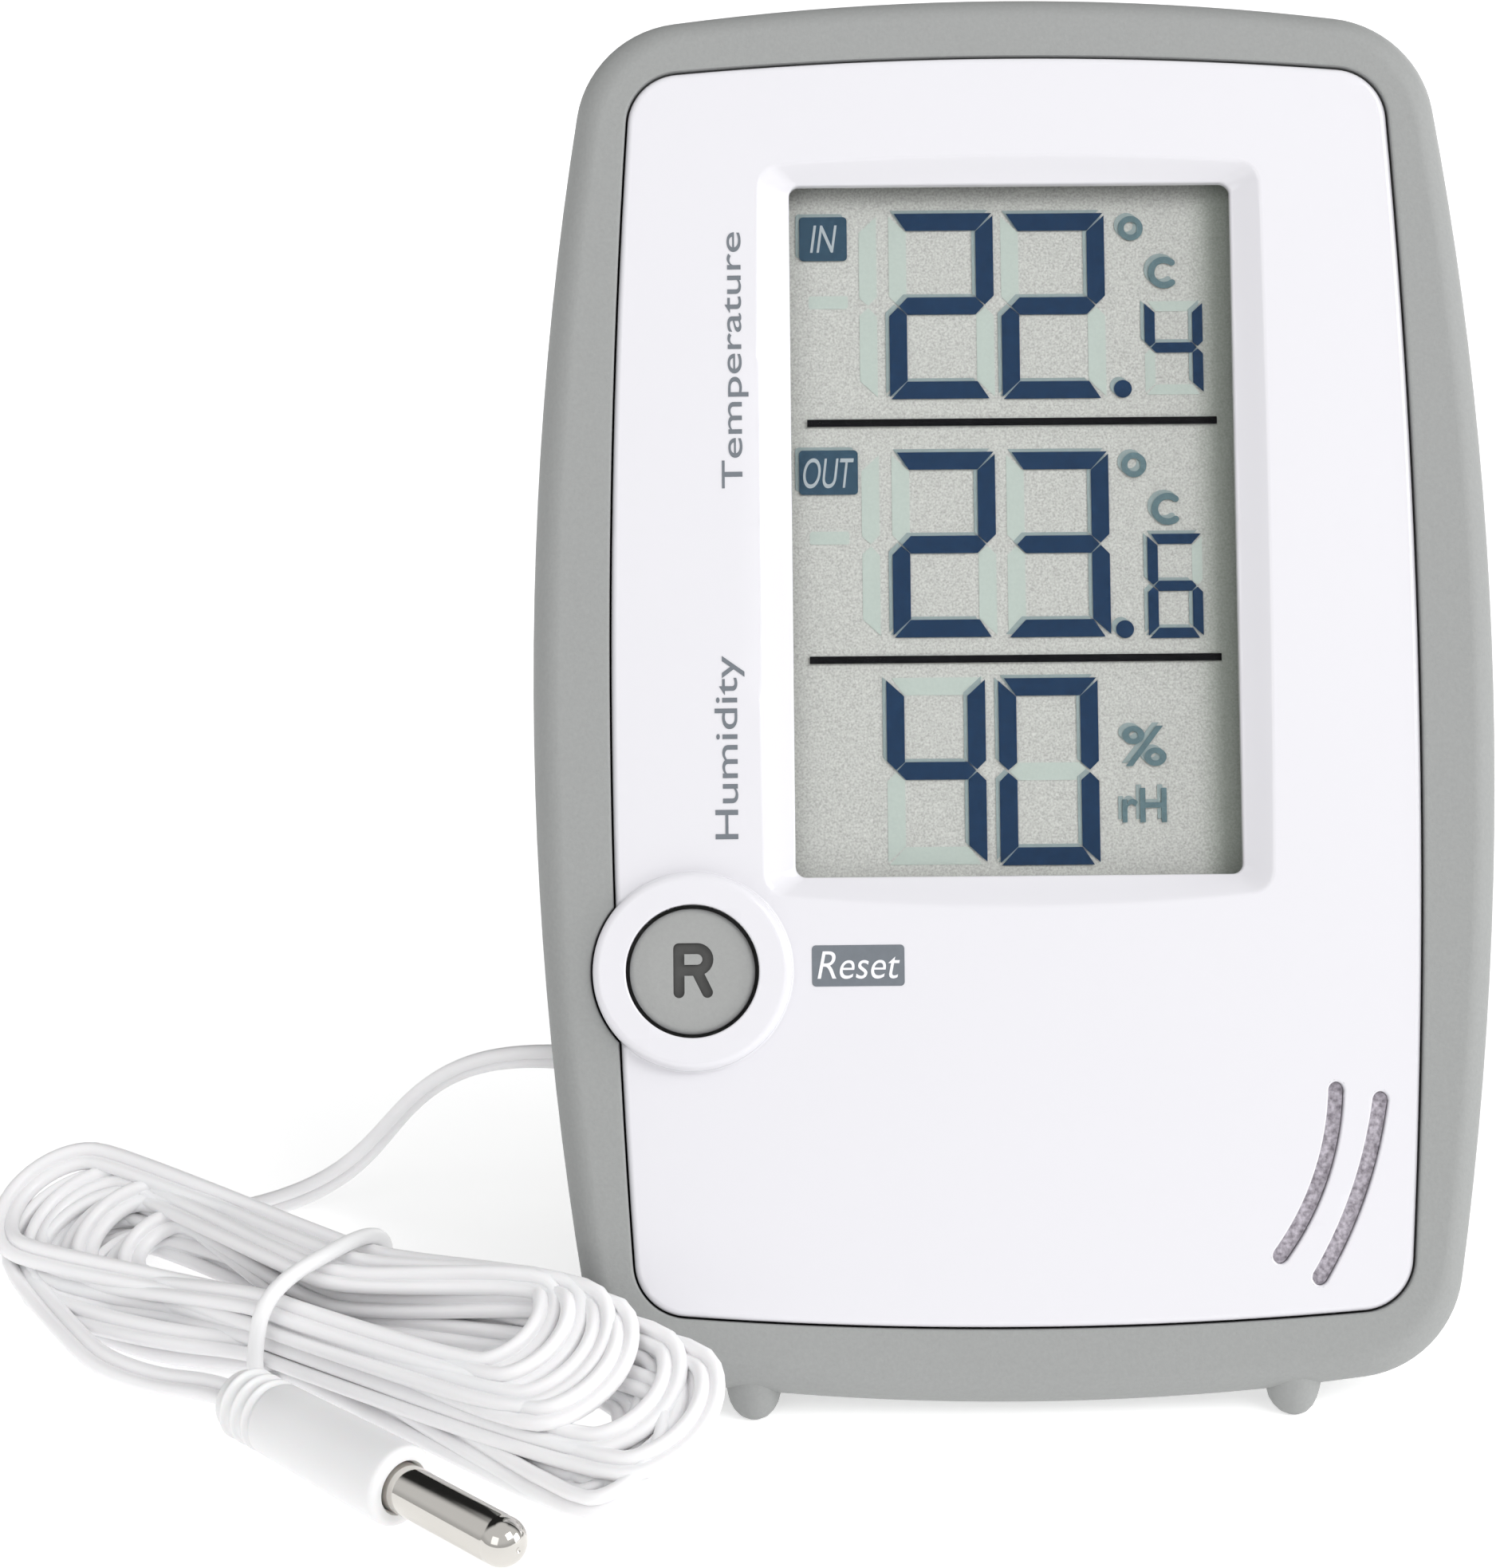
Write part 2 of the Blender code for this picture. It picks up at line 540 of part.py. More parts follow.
def make_screw(name, frame, mat, place, levels, radii):
    """A pan-head screw whose tip, seat and head top are at the given depths."""
    tip, seat, top = levels
    shank, head = radii
    profile = ((shank * 0.5, tip), (shank, tip + 0.8), (shank, seat), (head, seat), (head, top - 0.5),
               (head * 0.75, top))
    body = turned_bm(profile, 16)
    turn_and_move(body, "X", -90, (0, 0, 0))
    screw = add_object(name, mesh_from(body, name, 35), mat, frame)
    screw.location = Vector((place[0], 0, place[1])) * MM


# ---------------------------------------------------------------- cord and probe

def to_world(point):
    """Millimetres in the leaning instrument's frame to millimetres in the world."""
    x, y, z = point
    lean = radians(LEAN)
    lift = FOOT_Y * sin(lean) - FOOT_BOTTOM * cos(lean)
    return Vector((x, y * cos(lean) + z * sin(lean) - CENTRE_Y, z * cos(lean) - y * sin(lean) + lift))


def make_gland(frame, mat):
    """Small bush that holds the cord in the left wall."""
    bush = turned_bm(((3.0, 27.3), (3.0, 28.3), (1.9, 28.3), (1.9, 34.2), (1.7, 34.5)), 20)
    turn_and_move(bush, "Y", -90, (0, GLAND_Y, GLAND_Z))
    add_object("cord_gland", mesh_from(bush, "cord_gland", 35), mat, frame)


def make_cord_lead(mat):
    """The free cord from the gland, down to the ground and in behind the hank."""
    start = to_world((-34.8, GLAND_Y, GLAND_Z))
    route = [start, start + Vector((-2.5, 0, 0.1)), (-41.0, -5.6, 19.3), (-44.6, -2.2, 16.3),
             (-47.6, 1.4, 12.3), (-50.2, 4.4, 8.0), (-52.8, 6.8, 4.4), (-55.8, 7.8, 2.0),
             (-58.8, 7.0, 1.1), (-61.6, 5.0, 1.2),
             (-63.2, 3.0, 2.2), (-64.1, 1.75, 3.0)]
    tube("cord_lead", smooth_route(route, 2.2), CORD_RADIUS, mat)


def hank_outline():
    """A waisted outline with round ends, in the ground plane."""
    along = (HANK_RIGHT - HANK_LEFT)
    length = along.length
    along.normalize()
    across = Vector((-along.y, along.x))
    steps = 10
    outline = []
    ends = ((HANK_RIGHT, HANK_RIGHT_RADIUS, -pi / 2), (HANK_LEFT, HANK_LEFT_RADIUS, pi / 2))
    for centre, radius, turn in ends:
        for i in range(steps + 1):
            angle = turn + pi * i / steps
            outline.append(centre + along * radius * cos(angle) + across * radius * sin(angle))
        side = 1 if turn < 0 else -1
        for i in range(1, steps):
            t = 1 - i / steps if side > 0 else i / steps
            end_width = HANK_LEFT_RADIUS + (HANK_RIGHT_RADIUS - HANK_LEFT_RADIUS) * t
            width = HANK_WAIST + (end_width - HANK_WAIST) * abs(2 * t - 1) ** 1.5
            outline.append(HANK_LEFT + along * length * t + across * side * width)
    return outline


def make_hank(mats):
    """The tied bundle of cord as one plain solid, and the tie around its waist."""
    outline = hank_outline()
    levels = ((0.88, HANK_BOTTOM), (1.0, HANK_BOTTOM + 1.6), (1.0, HANK_TOP - 1.6), (0.88, HANK_TOP))
    middle = (HANK_LEFT + HANK_RIGHT) / 2
    rings = []
    for scale, z in levels:
        shrink = (1 - scale) * 9.0
        ring = []
        for point in outline:
            away = point - nearest_on_axis(point)
            inner = point - away.normalized() * shrink
            ring.append(Vector((inner.x - middle.x, inner.y - middle.y, z)))
        rings.append(ring)
    hank = add_object("cord_hank", mesh_from(loft(rings), "cord_hank", 40), mats["cord"])
    hank.location = Vector((middle.x, middle.y, 0)) * MM

    place = HANK_LEFT.lerp(HANK_RIGHT, TIE_AT)
    along = (HANK_RIGHT - HANK_LEFT).normalized()
    across = Vector((-along.y, along.x, 0))
    half_width = HANK_WAIST + 2 * GAP + TIE_RADIUS
    half_height = (HANK_TOP - HANK_BOTTOM) / 2 + GAP + TIE_RADIUS
    centre_z = (HANK_TOP + HANK_BOTTOM) / 2
    loop = []
    count = 40
    for i in range(count):
        angle = 2 * pi * i / count
        bulge = 0.48
        wide = abs(cos(angle)) ** bulge * (1 if cos(angle) > 0 else -1)
        tall = abs(sin(angle)) ** bulge * (1 if sin(angle) > 0 else -1)
        point = Vector((place.x, place.y, centre_z)) + across * half_width * wide
        loop.append(point + Vector((0, 0, half_height * tall)))
    ring_around(loop, TIE_RADIUS, "hank_tie", mats["cord"])


def nearest_on_axis(point):
    axis = HANK_RIGHT - HANK_LEFT
    t = (point - HANK_LEFT).dot(axis) / axis.length_squared
    return HANK_LEFT + axis * min(max(t, 0.0), 1.0)


def ring_around(loop, radius, name, mat):
    """A closed round-section ring through the given loop of points."""
    bm = bmesh.new()
    count = len(loop)
    sides = 8
    centre = sum(loop, Vector()) / count
    normal = (loop[0] - centre).cross(loop[count // 4] - centre).normalized()
    rows = []
    for i in range(count):
        tangent = (loop[(i + 1) % count] - loop[i - 1]).normalized()
        outward = tangent.cross(normal).normalized()
        row = []
        for k in range(sides):
            angle = 2 * pi * k / sides
            row.append(bm.verts.new(loop[i] + (outward * cos(angle) + normal * sin(angle)) * radius))
        rows.append(row)
    for i in range(count):
        near, far = rows[i], rows[(i + 1) % count]
        for k in range(sides):
            m = (k + 1) % sides
            bm.faces.new((near[k], near[m], far[m], far[k]))
    add_object(name, mesh_from(bm, name, 60), mat)


def probe_axis(distance):
    """The point this far in front of the probe body's rear face, in the world."""
    yaw = radians(PROBE_YAW)
    return PROBE_REAR + Vector((cos(yaw), sin(yaw), 0)) * distance


def make_probe(mats):
    """Ribbed plastic body, metal tip and the short cord between probe and hank."""
    pose = bpy.data.objects.new("probe_pose", None)
    bpy.context.scene.collection.objects.link(pose)
    pose.location = PROBE_REAR * MM
    pose.rotation_euler = (0, radians(90), radians(PROBE_YAW))
    profile = [(2.1, 0.0), (2.5, 0.25)]
    for i in range(3):
        start = 0.5 + 1.15 * i
        profile += [(2.72, start), (2.72, start + 0.65), (2.5, start + 0.8), (2.5, start + 1.0)]
    profile += [(2.72, 4.3), (3.0, PROBE_LENGTH - 0.6), (2.75, PROBE_LENGTH)]
    body = add_object("probe_body", mesh_from(turned_bm(profile, 24), "probe_body", 35), mats["probe"], pose)
    cut(body, turned_bm(((2.1, PROBE_LENGTH - 6.0), (2.1, PROBE_LENGTH + 3)), 24), "probe_socket")
    end = PROBE_LENGTH + PROBE_TIP_LENGTH
    tip = [(1.8, PROBE_LENGTH - 5.6)]
    for i in range(6):
        angle = pi / 2 * i / 6
        tip.append((1.8 * cos(angle), end - 1.8 + 1.8 * sin(angle)))
    tip.append((0.25, end - 0.02))
    add_object("probe_tip", mesh_from(turned_bm(tip, 20), "probe_tip", 50), mats["chrome"], pose)
    route = [(-72.9, -14.85, 2.3), (-71.9, -17.0, 1.3), (-70.0, -19.4, 1.0), (-67.2, -21.7, 1.0),
             (-64.2, -23.8, 1.3), (-61.2, -26.2, 2.4), probe_axis(-1.2), probe_axis(-GAP)]
    tube("probe_lead", smooth_route(route, 2.2), CORD_RADIUS, mats["cord"])


# ---------------------------------------------------------------- assembly

def make_materials():
    return {
        "grey": material("soft_grey", (0.36, 0.37, 0.365), 0.62),
        "grey_key": material("key_grey", (0.40, 0.405, 0.40), 0.55),
        "grey_hard": material("hard_grey", (0.36, 0.37, 0.365), 0.55),
        "white": material("gloss_white", (0.86, 0.86, 0.88), 0.15),
        "clear": material("clear_window", (0.9, 0.92, 0.92), 0.05),
        "lcd": material("lcd_glass", (0.55, 0.57, 0.54), 0.3),
        "rubber": material("contact_rubber", (0.35, 0.14, 0.16), 0.7),
        "board": material("board_green", (0.03, 0.16, 0.06), 0.45),
        "black": material("black_resin", (0.02, 0.02, 0.02), 0.4),
        "steel": material("bright_steel", (0.75, 0.75, 0.73), 0.3, 1.0),
        "chrome": material("probe_chrome", (0.8, 0.79, 0.76), 0.12, 1.0),
        "felt": material("vent_felt", (0.35, 0.32, 0.36), 0.95),
        "cell": material("cell_sleeve", (0.05, 0.12, 0.3), 0.35),
        "cord": material("cord_white", (0.82, 0.82, 0.84), 0.4),
        "probe": material("probe_white", (0.84, 0.84, 0.84), 0.35),
    }


def build():
    clear_scene()
    mats = make_materials()
    frame = bpy.data.objects.new("instrument_frame", None)
    bpy.context.scene.collection.objects.link(frame)
    frame.location = to_world((0, 0, 0)) * MM
    frame.rotation_euler = (radians(-LEAN), 0, 0)
    make_rear_housing(frame, mats["grey"])
    make_front_cover(frame, mats["white"])
    make_feet(frame, mats["grey"])
    make_display(frame, mats)
    make_circuit_board(frame, mats)
    make_sensors(frame, mats)
    make_reset_button(frame, mats)
    make_battery(frame, mats)
    make_stand(frame, mats["grey_hard"])
    make_screws(frame, mats["steel"])
    make_gland(frame, mats["grey_hard"])
    make_cord_lead(mats["cord"])
    make_hank(mats)
    make_probe(mats)


build()
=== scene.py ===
"""Looks for the indoor and outdoor maximum minimum thermometer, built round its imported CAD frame.

Sizes are in millimetres. Pieces of the instrument are made in its own leaning frame, where x is
right, y is the depth behind the rim's front and z runs up the face; the cord and the probe are
made in the row frame.
"""
import json
from math import atan2, ceil, copysign, cos, hypot, pi, radians, sin, sqrt

import bmesh
import bpy
from mathutils import Matrix, Vector


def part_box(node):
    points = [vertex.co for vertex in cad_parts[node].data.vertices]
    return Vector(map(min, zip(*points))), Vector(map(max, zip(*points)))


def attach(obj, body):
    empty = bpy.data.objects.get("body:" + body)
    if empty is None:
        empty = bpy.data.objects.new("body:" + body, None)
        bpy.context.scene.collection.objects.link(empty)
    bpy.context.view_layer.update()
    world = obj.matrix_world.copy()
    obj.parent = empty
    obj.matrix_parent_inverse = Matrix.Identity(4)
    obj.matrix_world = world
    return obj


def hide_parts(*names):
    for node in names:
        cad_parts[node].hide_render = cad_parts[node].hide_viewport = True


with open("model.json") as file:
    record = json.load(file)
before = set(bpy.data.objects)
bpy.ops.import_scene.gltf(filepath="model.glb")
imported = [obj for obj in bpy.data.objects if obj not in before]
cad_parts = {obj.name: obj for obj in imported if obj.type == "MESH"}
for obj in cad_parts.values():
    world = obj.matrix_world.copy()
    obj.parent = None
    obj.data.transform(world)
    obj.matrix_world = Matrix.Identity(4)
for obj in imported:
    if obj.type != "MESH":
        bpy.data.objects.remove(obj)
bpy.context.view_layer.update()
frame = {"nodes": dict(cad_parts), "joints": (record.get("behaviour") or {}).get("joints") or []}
nodes = frame["nodes"]

MM = 0.001
ROW = Matrix.Scale(MM, 4)
GAP = 0.3


def leaning_frame():
    """The instrument's own frame: its key slides straight back, and its housing starts at zero."""
    press = next(j for j in frame["joints"] if j["name"] == "reset_button_press")
    back = Vector(press["axis"]).normalized()
    right = Vector((1.0, 0.0, 0.0))
    up = right.cross(back)
    shell = [v.co for v in nodes["rear_housing"].data.vertices]
    origin = back * min(p.dot(back) for p in shell) + up * min(p.dot(up) for p in shell)
    columns = Matrix((right * MM, back * MM, up * MM)).transposed().to_4x4()
    return Matrix.Translation(origin) @ columns


FACE = leaning_frame()
FACE_INVERSE = FACE.inverted()


def face_box(node):
    """A CAD node's lowest and highest corner in the instrument's own frame, mm."""
    points = [FACE_INVERSE @ v.co for v in nodes[node].data.vertices]
    low = Vector([min(p[i] for p in points) for i in range(3)])
    high = Vector([max(p[i] for p in points) for i in range(3)])
    return low, high


def face_centre(node):
    low, high = face_box(node)
    return (low + high) / 2


# ---- camera

CAMERA_AT = Vector((-21.2, -277.86, 140.43)) * MM
CAMERA_ELEVATION = 19.88
CAMERA_HEADING = 0.244
CAMERA_ROLL = 0.427
CAMERA_LENS = 87.71


def make_camera():
    heading, tilt, roll = (radians(a) for a in (CAMERA_HEADING, CAMERA_ELEVATION, CAMERA_ROLL))
    view = Vector((sin(heading) * cos(tilt), cos(heading) * cos(tilt), -sin(tilt)))
    level = Vector((cos(heading), -sin(heading), 0.0))
    above = level.cross(view)
    right = level * cos(roll) - above * sin(roll)
    up = above * cos(roll) + level * sin(roll)
    data = bpy.data.cameras.new("camera")
    data.lens = CAMERA_LENS
    data.clip_start = 0.01
    camera = link("camera", data)
    camera.matrix_world = Matrix.Translation(CAMERA_AT) @ Matrix((right, up, -view)).transposed().to_4x4()
    bpy.context.scene.camera = camera


# ---- mesh helpers

def link(name, data):
    obj = bpy.data.objects.new(name, data)
    bpy.context.scene.collection.objects.link(obj)
    return obj


def piece(bm, name, material, matrix=FACE, smooth=35):
    """Make an object from a millimetre bmesh, with its faces pointing out."""
    bmesh.ops.recalc_face_normals(bm, faces=bm.faces)
    bm.transform(matrix)
    mesh = bpy.data.meshes.new(name)
    bm.to_mesh(mesh)
    bm.free()
    mesh.materials.append(material)
    obj = link(name, mesh)
    soften(obj, smooth)
    return obj


def soften(obj, angle=35):
    obj.data.shade_smooth()
    obj.data.set_sharp_from_angle(angle=radians(angle))


def fit(obj, body, slot, *replaced):
    """Put a piece on its body and in the place of CAD nodes; its slot is not used."""
    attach(obj, body)
    if replaced:
        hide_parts(*replaced)
    return obj


def evaluated_mesh(obj):
    graph = bpy.context.evaluated_depsgraph_get()
    return bpy.data.meshes.new_from_object(obj.evaluated_get(graph), depsgraph=graph)


def apply_modifiers(obj):
    mesh = evaluated_mesh(obj)
    obj.modifiers.clear()
    old = obj.data
    obj.data = mesh
    bpy.data.meshes.remove(old)
    mesh.name = obj.name


def bevel(obj, width, segments, angle):
    modifier = obj.modifiers.new("edge", "BEVEL")
    modifier.width = width * MM
    modifier.segments = segments
    modifier.limit_method = "ANGLE"
    modifier.angle_limit = radians(angle)
    modifier.miter_outer = "MITER_ARC"
    modifier.use_clamp_overlap = False
    apply_modifiers(obj)


def keep_flat(obj):
    """Smooth a piece so that its flat faces look flat beside their rounded edges."""
    soften(obj)
    modifier = obj.modifiers.new("normals", "WEIGHTED_NORMAL")
    modifier.keep_sharp = True
    modifier.weight = 100
    apply_modifiers(obj)


def carve(obj, operation, parts, material=None, matrix=FACE):
    """Cut or join millimetre bmeshes with a piece, one after another."""
    for number, bm in enumerate(parts):
        tool = piece(bm, f"tool_{number}", material or obj.data.materials[0], matrix)
        modifier = obj.modifiers.new("carve", "BOOLEAN")
        modifier.operation = operation
        modifier.solver = "EXACT"
        modifier.object = tool
        if material:
            modifier.material_mode = "TRANSFER"
        apply_modifiers(obj)
        old = tool.data
        bpy.data.objects.remove(tool)
        bpy.data.meshes.remove(old)


def loft(rings, closed=False):
    """Join equal-length rings into a skin, as a solid with end caps or a closed loop."""
    bm = bmesh.new()
    loops = [[bm.verts.new(p) for p in ring] for ring in rings]
    count = len(rings[0])
    following = loops[1:] + loops[:1] if closed else loops[1:]
    for near, far in zip(loops, following):
        for i in range(count):
            j = (i + 1) % count
            bm.faces.new((near[i], near[j], far[j], far[i]))
    if not closed:
        bm.faces.new(loops[0])
        bm.faces.new(list(reversed(loops[-1])))
    return bm


def at_depth(points, y):
    return [Vector((x, y, z)) for x, z in points]


def prism(outline, y0, y1):
    return loft([at_depth(outline, y0), at_depth(outline, y1)])


def round_point(x, z, radius, angle):
    return x + radius * cos(angle), z + radius * sin(angle)


def quarter_turn(steps):
    return [pi / 2 * i / steps for i in range(steps + 1)]


def circle(x, z, radius, count=64):
    return [round_point(x, z, radius, 2 * pi * i / count) for i in range(count)]


def arc(x, z, radius, start, end, steps=5):
    """Points of an arc on the face or in a turned profile, angles in degrees."""
    return [round_point(x, z, radius, radians(start + (end - start) * i / steps)) for i in range(steps + 1)]


def rounded_rect(x0, x1, z0, z1, radius, steps=6):
    corners = ((x1 - radius, z1 - radius), (x0 + radius, z1 - radius),
               (x0 + radius, z0 + radius), (x1 - radius, z0 + radius))
    return [round_point(x, z, radius, pi / 2 * (quarter + step / steps))
            for quarter, (x, z) in enumerate(corners) for step in range(steps + 1)]


def block(x0, x1, z0, z1, y0, y1, radius=0.0):
    square = [(x0, z0), (x1, z0), (x1, z1), (x0, z1)]
    return prism(rounded_rect(x0, x1, z0, z1, radius) if radius else square, y0, y1)


def post(x, z, radius, y0, y1, count=48):
    return prism(circle(x, z, radius, count), y0, y1)


def turned(profile, count=64, axis=None, place=(0, 0, 0)):
    """Turn (radius, height) points round +Z, then lay the shape along an axis matrix at a place."""
    bm = loft([[Vector((x, y, height)) for x, y in circle(0.0, 0.0, radius, count)]
               for radius, height in profile])
    if axis:
        bm.transform(axis)
    bm.transform(Matrix.Translation(Vector(place)))
    return bm


TO_BACK = Matrix.Rotation(radians(-90), 4, "X")      # +Z to +Y
TO_RIGHT = Matrix.Rotation(radians(90), 4, "Y")      # +Z to +X
TO_LEFT = Matrix.Rotation(radians(-90), 4, "Y")      # +Z to -X


def barrel(half_width, half_height, centre_z, side_radius, end_radius, corner_radius, steps=(12, 14, 10)):
    """A barrel outline: side arcs, end arcs and round corners, even all round."""
    side_x = half_width - side_radius
    end_z = half_height - end_radius
    r1 = side_radius - corner_radius
    r2 = end_radius - corner_radius
    span = hypot(side_x, end_z)
    along = (r1 * r1 - r2 * r2 + span * span) / (2 * span)
    across = sqrt(r1 * r1 - along * along)
    ux, uz = -side_x / span, end_z / span
    cx = side_x + ux * along - uz * across
    cz = uz * along + ux * across
    side_end = atan2(cz, cx - side_x)
    end_start = atan2(cz - end_z, cx)
    arcs = ((side_x, 0.0, side_radius, 0.0, side_end), (cx, cz, corner_radius, side_end, end_start),
            (0.0, end_z, end_radius, end_start, pi / 2))
    quarter = [round_point(x, z, radius, start + (end - start) * i / count)
               for (x, z, radius, start, end), count in zip(arcs, steps) for i in range(count)]
    quarter.append(round_point(0.0, end_z, end_radius, pi / 2))
    half = quarter + [(-x, z) for x, z in reversed(quarter[:-1])]
    whole = half + [(x, -z) for x, z in reversed(half[1:-1])]
    return [(x, z + centre_z) for x, z in whole]


# ---- materials

def material(name, colour, roughness, metallic=0.0, grain=None, mottle=None, wear=None, **sockets):
    """A plastic, metal or rubber with fine grain in its bump and a slow drift in its colour.

    grain is (size in mm, strength, height in mm), mottle (size in mm, share of the colour) and
    wear (size in mm, spread of the roughness).
    """
    mat = bpy.data.materials.new(name)
    mat.use_nodes = True
    tree = mat.node_tree
    shader = tree.nodes["Principled BSDF"]
    shader.inputs["Base Color"].default_value = (*colour, 1.0)
    shader.inputs["Roughness"].default_value = roughness
    shader.inputs["Metallic"].default_value = metallic
    for socket, value in sockets.items():
        shader.inputs[socket.replace("_", " ")].default_value = value
    place = tree.nodes.new("ShaderNodeTexCoord").outputs["Object"]
    if grain:
        size, strength, height = grain
        bump = tree.nodes.new("ShaderNodeBump")
        bump.inputs["Strength"].default_value = strength
        bump.inputs["Distance"].default_value = height * MM
        tree.links.new(noise(tree, place, size, 3.0), bump.inputs["Height"])
        tree.links.new(bump.outputs["Normal"], shader.inputs["Normal"])
    if mottle:
        size, share = mottle
        mixed = mix(tree, noise(tree, place, size, 2.0), [c * (1 - share) for c in colour],
                    [min(1.0, c * (1 + share)) for c in colour])
        tree.links.new(mixed, shader.inputs["Base Color"])
    if wear:
        size, spread = wear
        worn = ramp(tree, noise(tree, place, size, 4.0), 0.0, 1.0, max(0.0, roughness - spread),
                    min(1.0, roughness + spread), "LINEAR")
        tree.links.new(worn, shader.inputs["Roughness"])
    return mat


def noise(tree, place, size, detail):
    """A noise of about the given size in millimetres, in the object's own space."""
    node = tree.nodes.new("ShaderNodeTexNoise")
    node.inputs["Scale"].default_value = 1.0 / (size * MM)
    node.inputs["Detail"].default_value = detail
    tree.links.new(place, node.inputs["Vector"])
    return node.outputs["Fac"]


def mix(tree, factor, first, second):
    """A colour between two, each of them a colour or another node's output."""
    node = tree.nodes.new("ShaderNodeMix")
    node.data_type = "RGBA"
    tree.links.new(factor, node.inputs["Factor"])
    for socket, source in (("A", first), ("B", second)):
        if isinstance(source, bpy.types.NodeSocket):
            tree.links.new(source, node.inputs[socket])
        else:
            node.inputs[socket].default_value = (*source, 1.0)
    return node.outputs["Result"]


def ramp(tree, source, start, end, low, high, kind="SMOOTHSTEP"):
    """A value that goes from low to high while its source goes from start to end."""
    node = tree.nodes.new("ShaderNodeMapRange")
    node.interpolation_type = kind
    for socket, value in (("From Min", start), ("From Max", end), ("To Min", low), ("To Max", high)):
        node.inputs[socket].default_value = value
    tree.links.new(source, node.inputs["Value"])
    return node.outputs["Result"]


def film(name, colour, mottle, roughness=0.5, level=0.5):
    """A thin switched or printed layer."""
    return material(name, colour, roughness, mottle=mottle, wear=(0.6, 0.1), Specular_IOR_Level=level)


def make_materials():
    return {
        "grey": material("soft_touch_grey", (0.302, 0.309, 0.305), 0.62, grain=(0.22, 0.5, 0.05),
            mottle=(0.3, 0.07), wear=(6.0, 0.08), Specular_IOR_Level=0.35),
        "grey_hard": material("moulded_grey", (0.335, 0.345, 0.34), 0.5, grain=(0.35, 0.35, 0.04),
            mottle=(8.0, 0.04), wear=(5.0, 0.1)),
        "key": material("key_grey", (0.315, 0.32, 0.315), 0.55, grain=(0.2, 0.45, 0.04),
            mottle=(0.3, 0.06), wear=(3.0, 0.08)),
        "engraving": material("engraved_grey", (0.062, 0.062, 0.06), 0.32, grain=(0.3, 0.2, 0.03),
            mottle=(1.0, 0.15)),
        "white": material("gloss_white_cover", (0.71, 0.703, 0.737), 0.12, grain=(9.0, 0.05, 0.1),
            mottle=(25.0, 0.006), wear=(12.0, 0.03), Coat_Weight=0.3, Coat_Roughness=0.04),
        "window": material("clear_acrylic", (1.0, 1.0, 1.0), 0.02, grain=(15.0, 0.02, 0.05),
            wear=(10.0, 0.01), Transmission_Weight=1.0, IOR=1.06),
        "lcd": lcd_material(),
        "segment": film("crystal_dark", (0.008, 0.026, 0.062), (0.5, 0.25), level=0.12),
        "symbol": film("crystal_mid", (0.085, 0.135, 0.15), (0.5, 0.2), level=0.12),
        "shadow": film("crystal_shadow", (0.185, 0.235, 0.235), (0.3, 0.12), 0.4),
        "ghost": film("crystal_ghost", (0.325, 0.375, 0.345), (0.25, 0.07), 0.4),
        "rule": material("printed_black", (0.004, 0.004, 0.005), 0.5, mottle=(0.4, 0.2), wear=(0.8, 0.1),
            Specular_IOR_Level=0.05),
        "badge": film("crystal_badge", (0.026, 0.055, 0.085), (0.5, 0.2), level=0.12),
        "badge_text": film("badge_clear", (0.28, 0.32, 0.34), (0.3, 0.08), 0.4),
        "print": material("printed_grey", (0.15, 0.168, 0.19), 0.35, mottle=(0.4, 0.08), wear=(0.8, 0.08)),
        "print_white": material("printed_white", (0.80, 0.80, 0.83), 0.3, mottle=(0.5, 0.04),
            wear=(0.8, 0.08)),
        "holder": material("holder_white", (0.62, 0.62, 0.61), 0.5, grain=(0.4, 0.2, 0.03),
            mottle=(5.0, 0.03)),
        "rubber": material("contact_rubber", (0.35, 0.14, 0.16), 0.75, grain=(0.3, 0.3, 0.03),
            mottle=(1.0, 0.1)),
        "board": material("solder_mask", (0.02, 0.13, 0.05), 0.35, grain=(0.8, 0.15, 0.03),
            mottle=(1.5, 0.2)),
        "resin": material("black_resin", (0.014, 0.014, 0.015), 0.3, grain=(1.2, 0.2, 0.05),
            mottle=(2.0, 0.2)),
        "steel": material("bright_steel", (0.62, 0.61, 0.59), 0.28, 1.0, grain=(0.4, 0.12, 0.02),
            mottle=(2.0, 0.05), wear=(1.2, 0.1)),
        "chrome": material("probe_nickel", (0.62, 0.60, 0.565), 0.09, 1.0, grain=(1.6, 0.04, 0.03),
            mottle=(3.0, 0.02), wear=(1.0, 0.05)),
        "felt": felt_material(),
        "cell": material("cell_sleeve", (0.05, 0.10, 0.26), 0.3, mottle=(6.0, 0.08), wear=(3.0, 0.08)),
        "cord": material("cord_white", (0.87, 0.865, 0.875), 0.36, grain=(0.5, 0.12, 0.03),
            mottle=(4.0, 0.02), wear=(2.5, 0.08), Subsurface_Weight=0.03,
            Subsurface_Scale=0.0006),
        "probe": material("probe_white", (0.80, 0.80, 0.805), 0.42, grain=(0.25, 0.25, 0.03),
            mottle=(6.0, 0.015), wear=(2.0, 0.08), Subsurface_Weight=0.08,
            Subsurface_Scale=0.0008),
        "tie": material("tie_white", (0.86, 0.86, 0.865), 0.4, grain=(0.4, 0.2, 0.03), mottle=(2.0, 0.02)),
    }


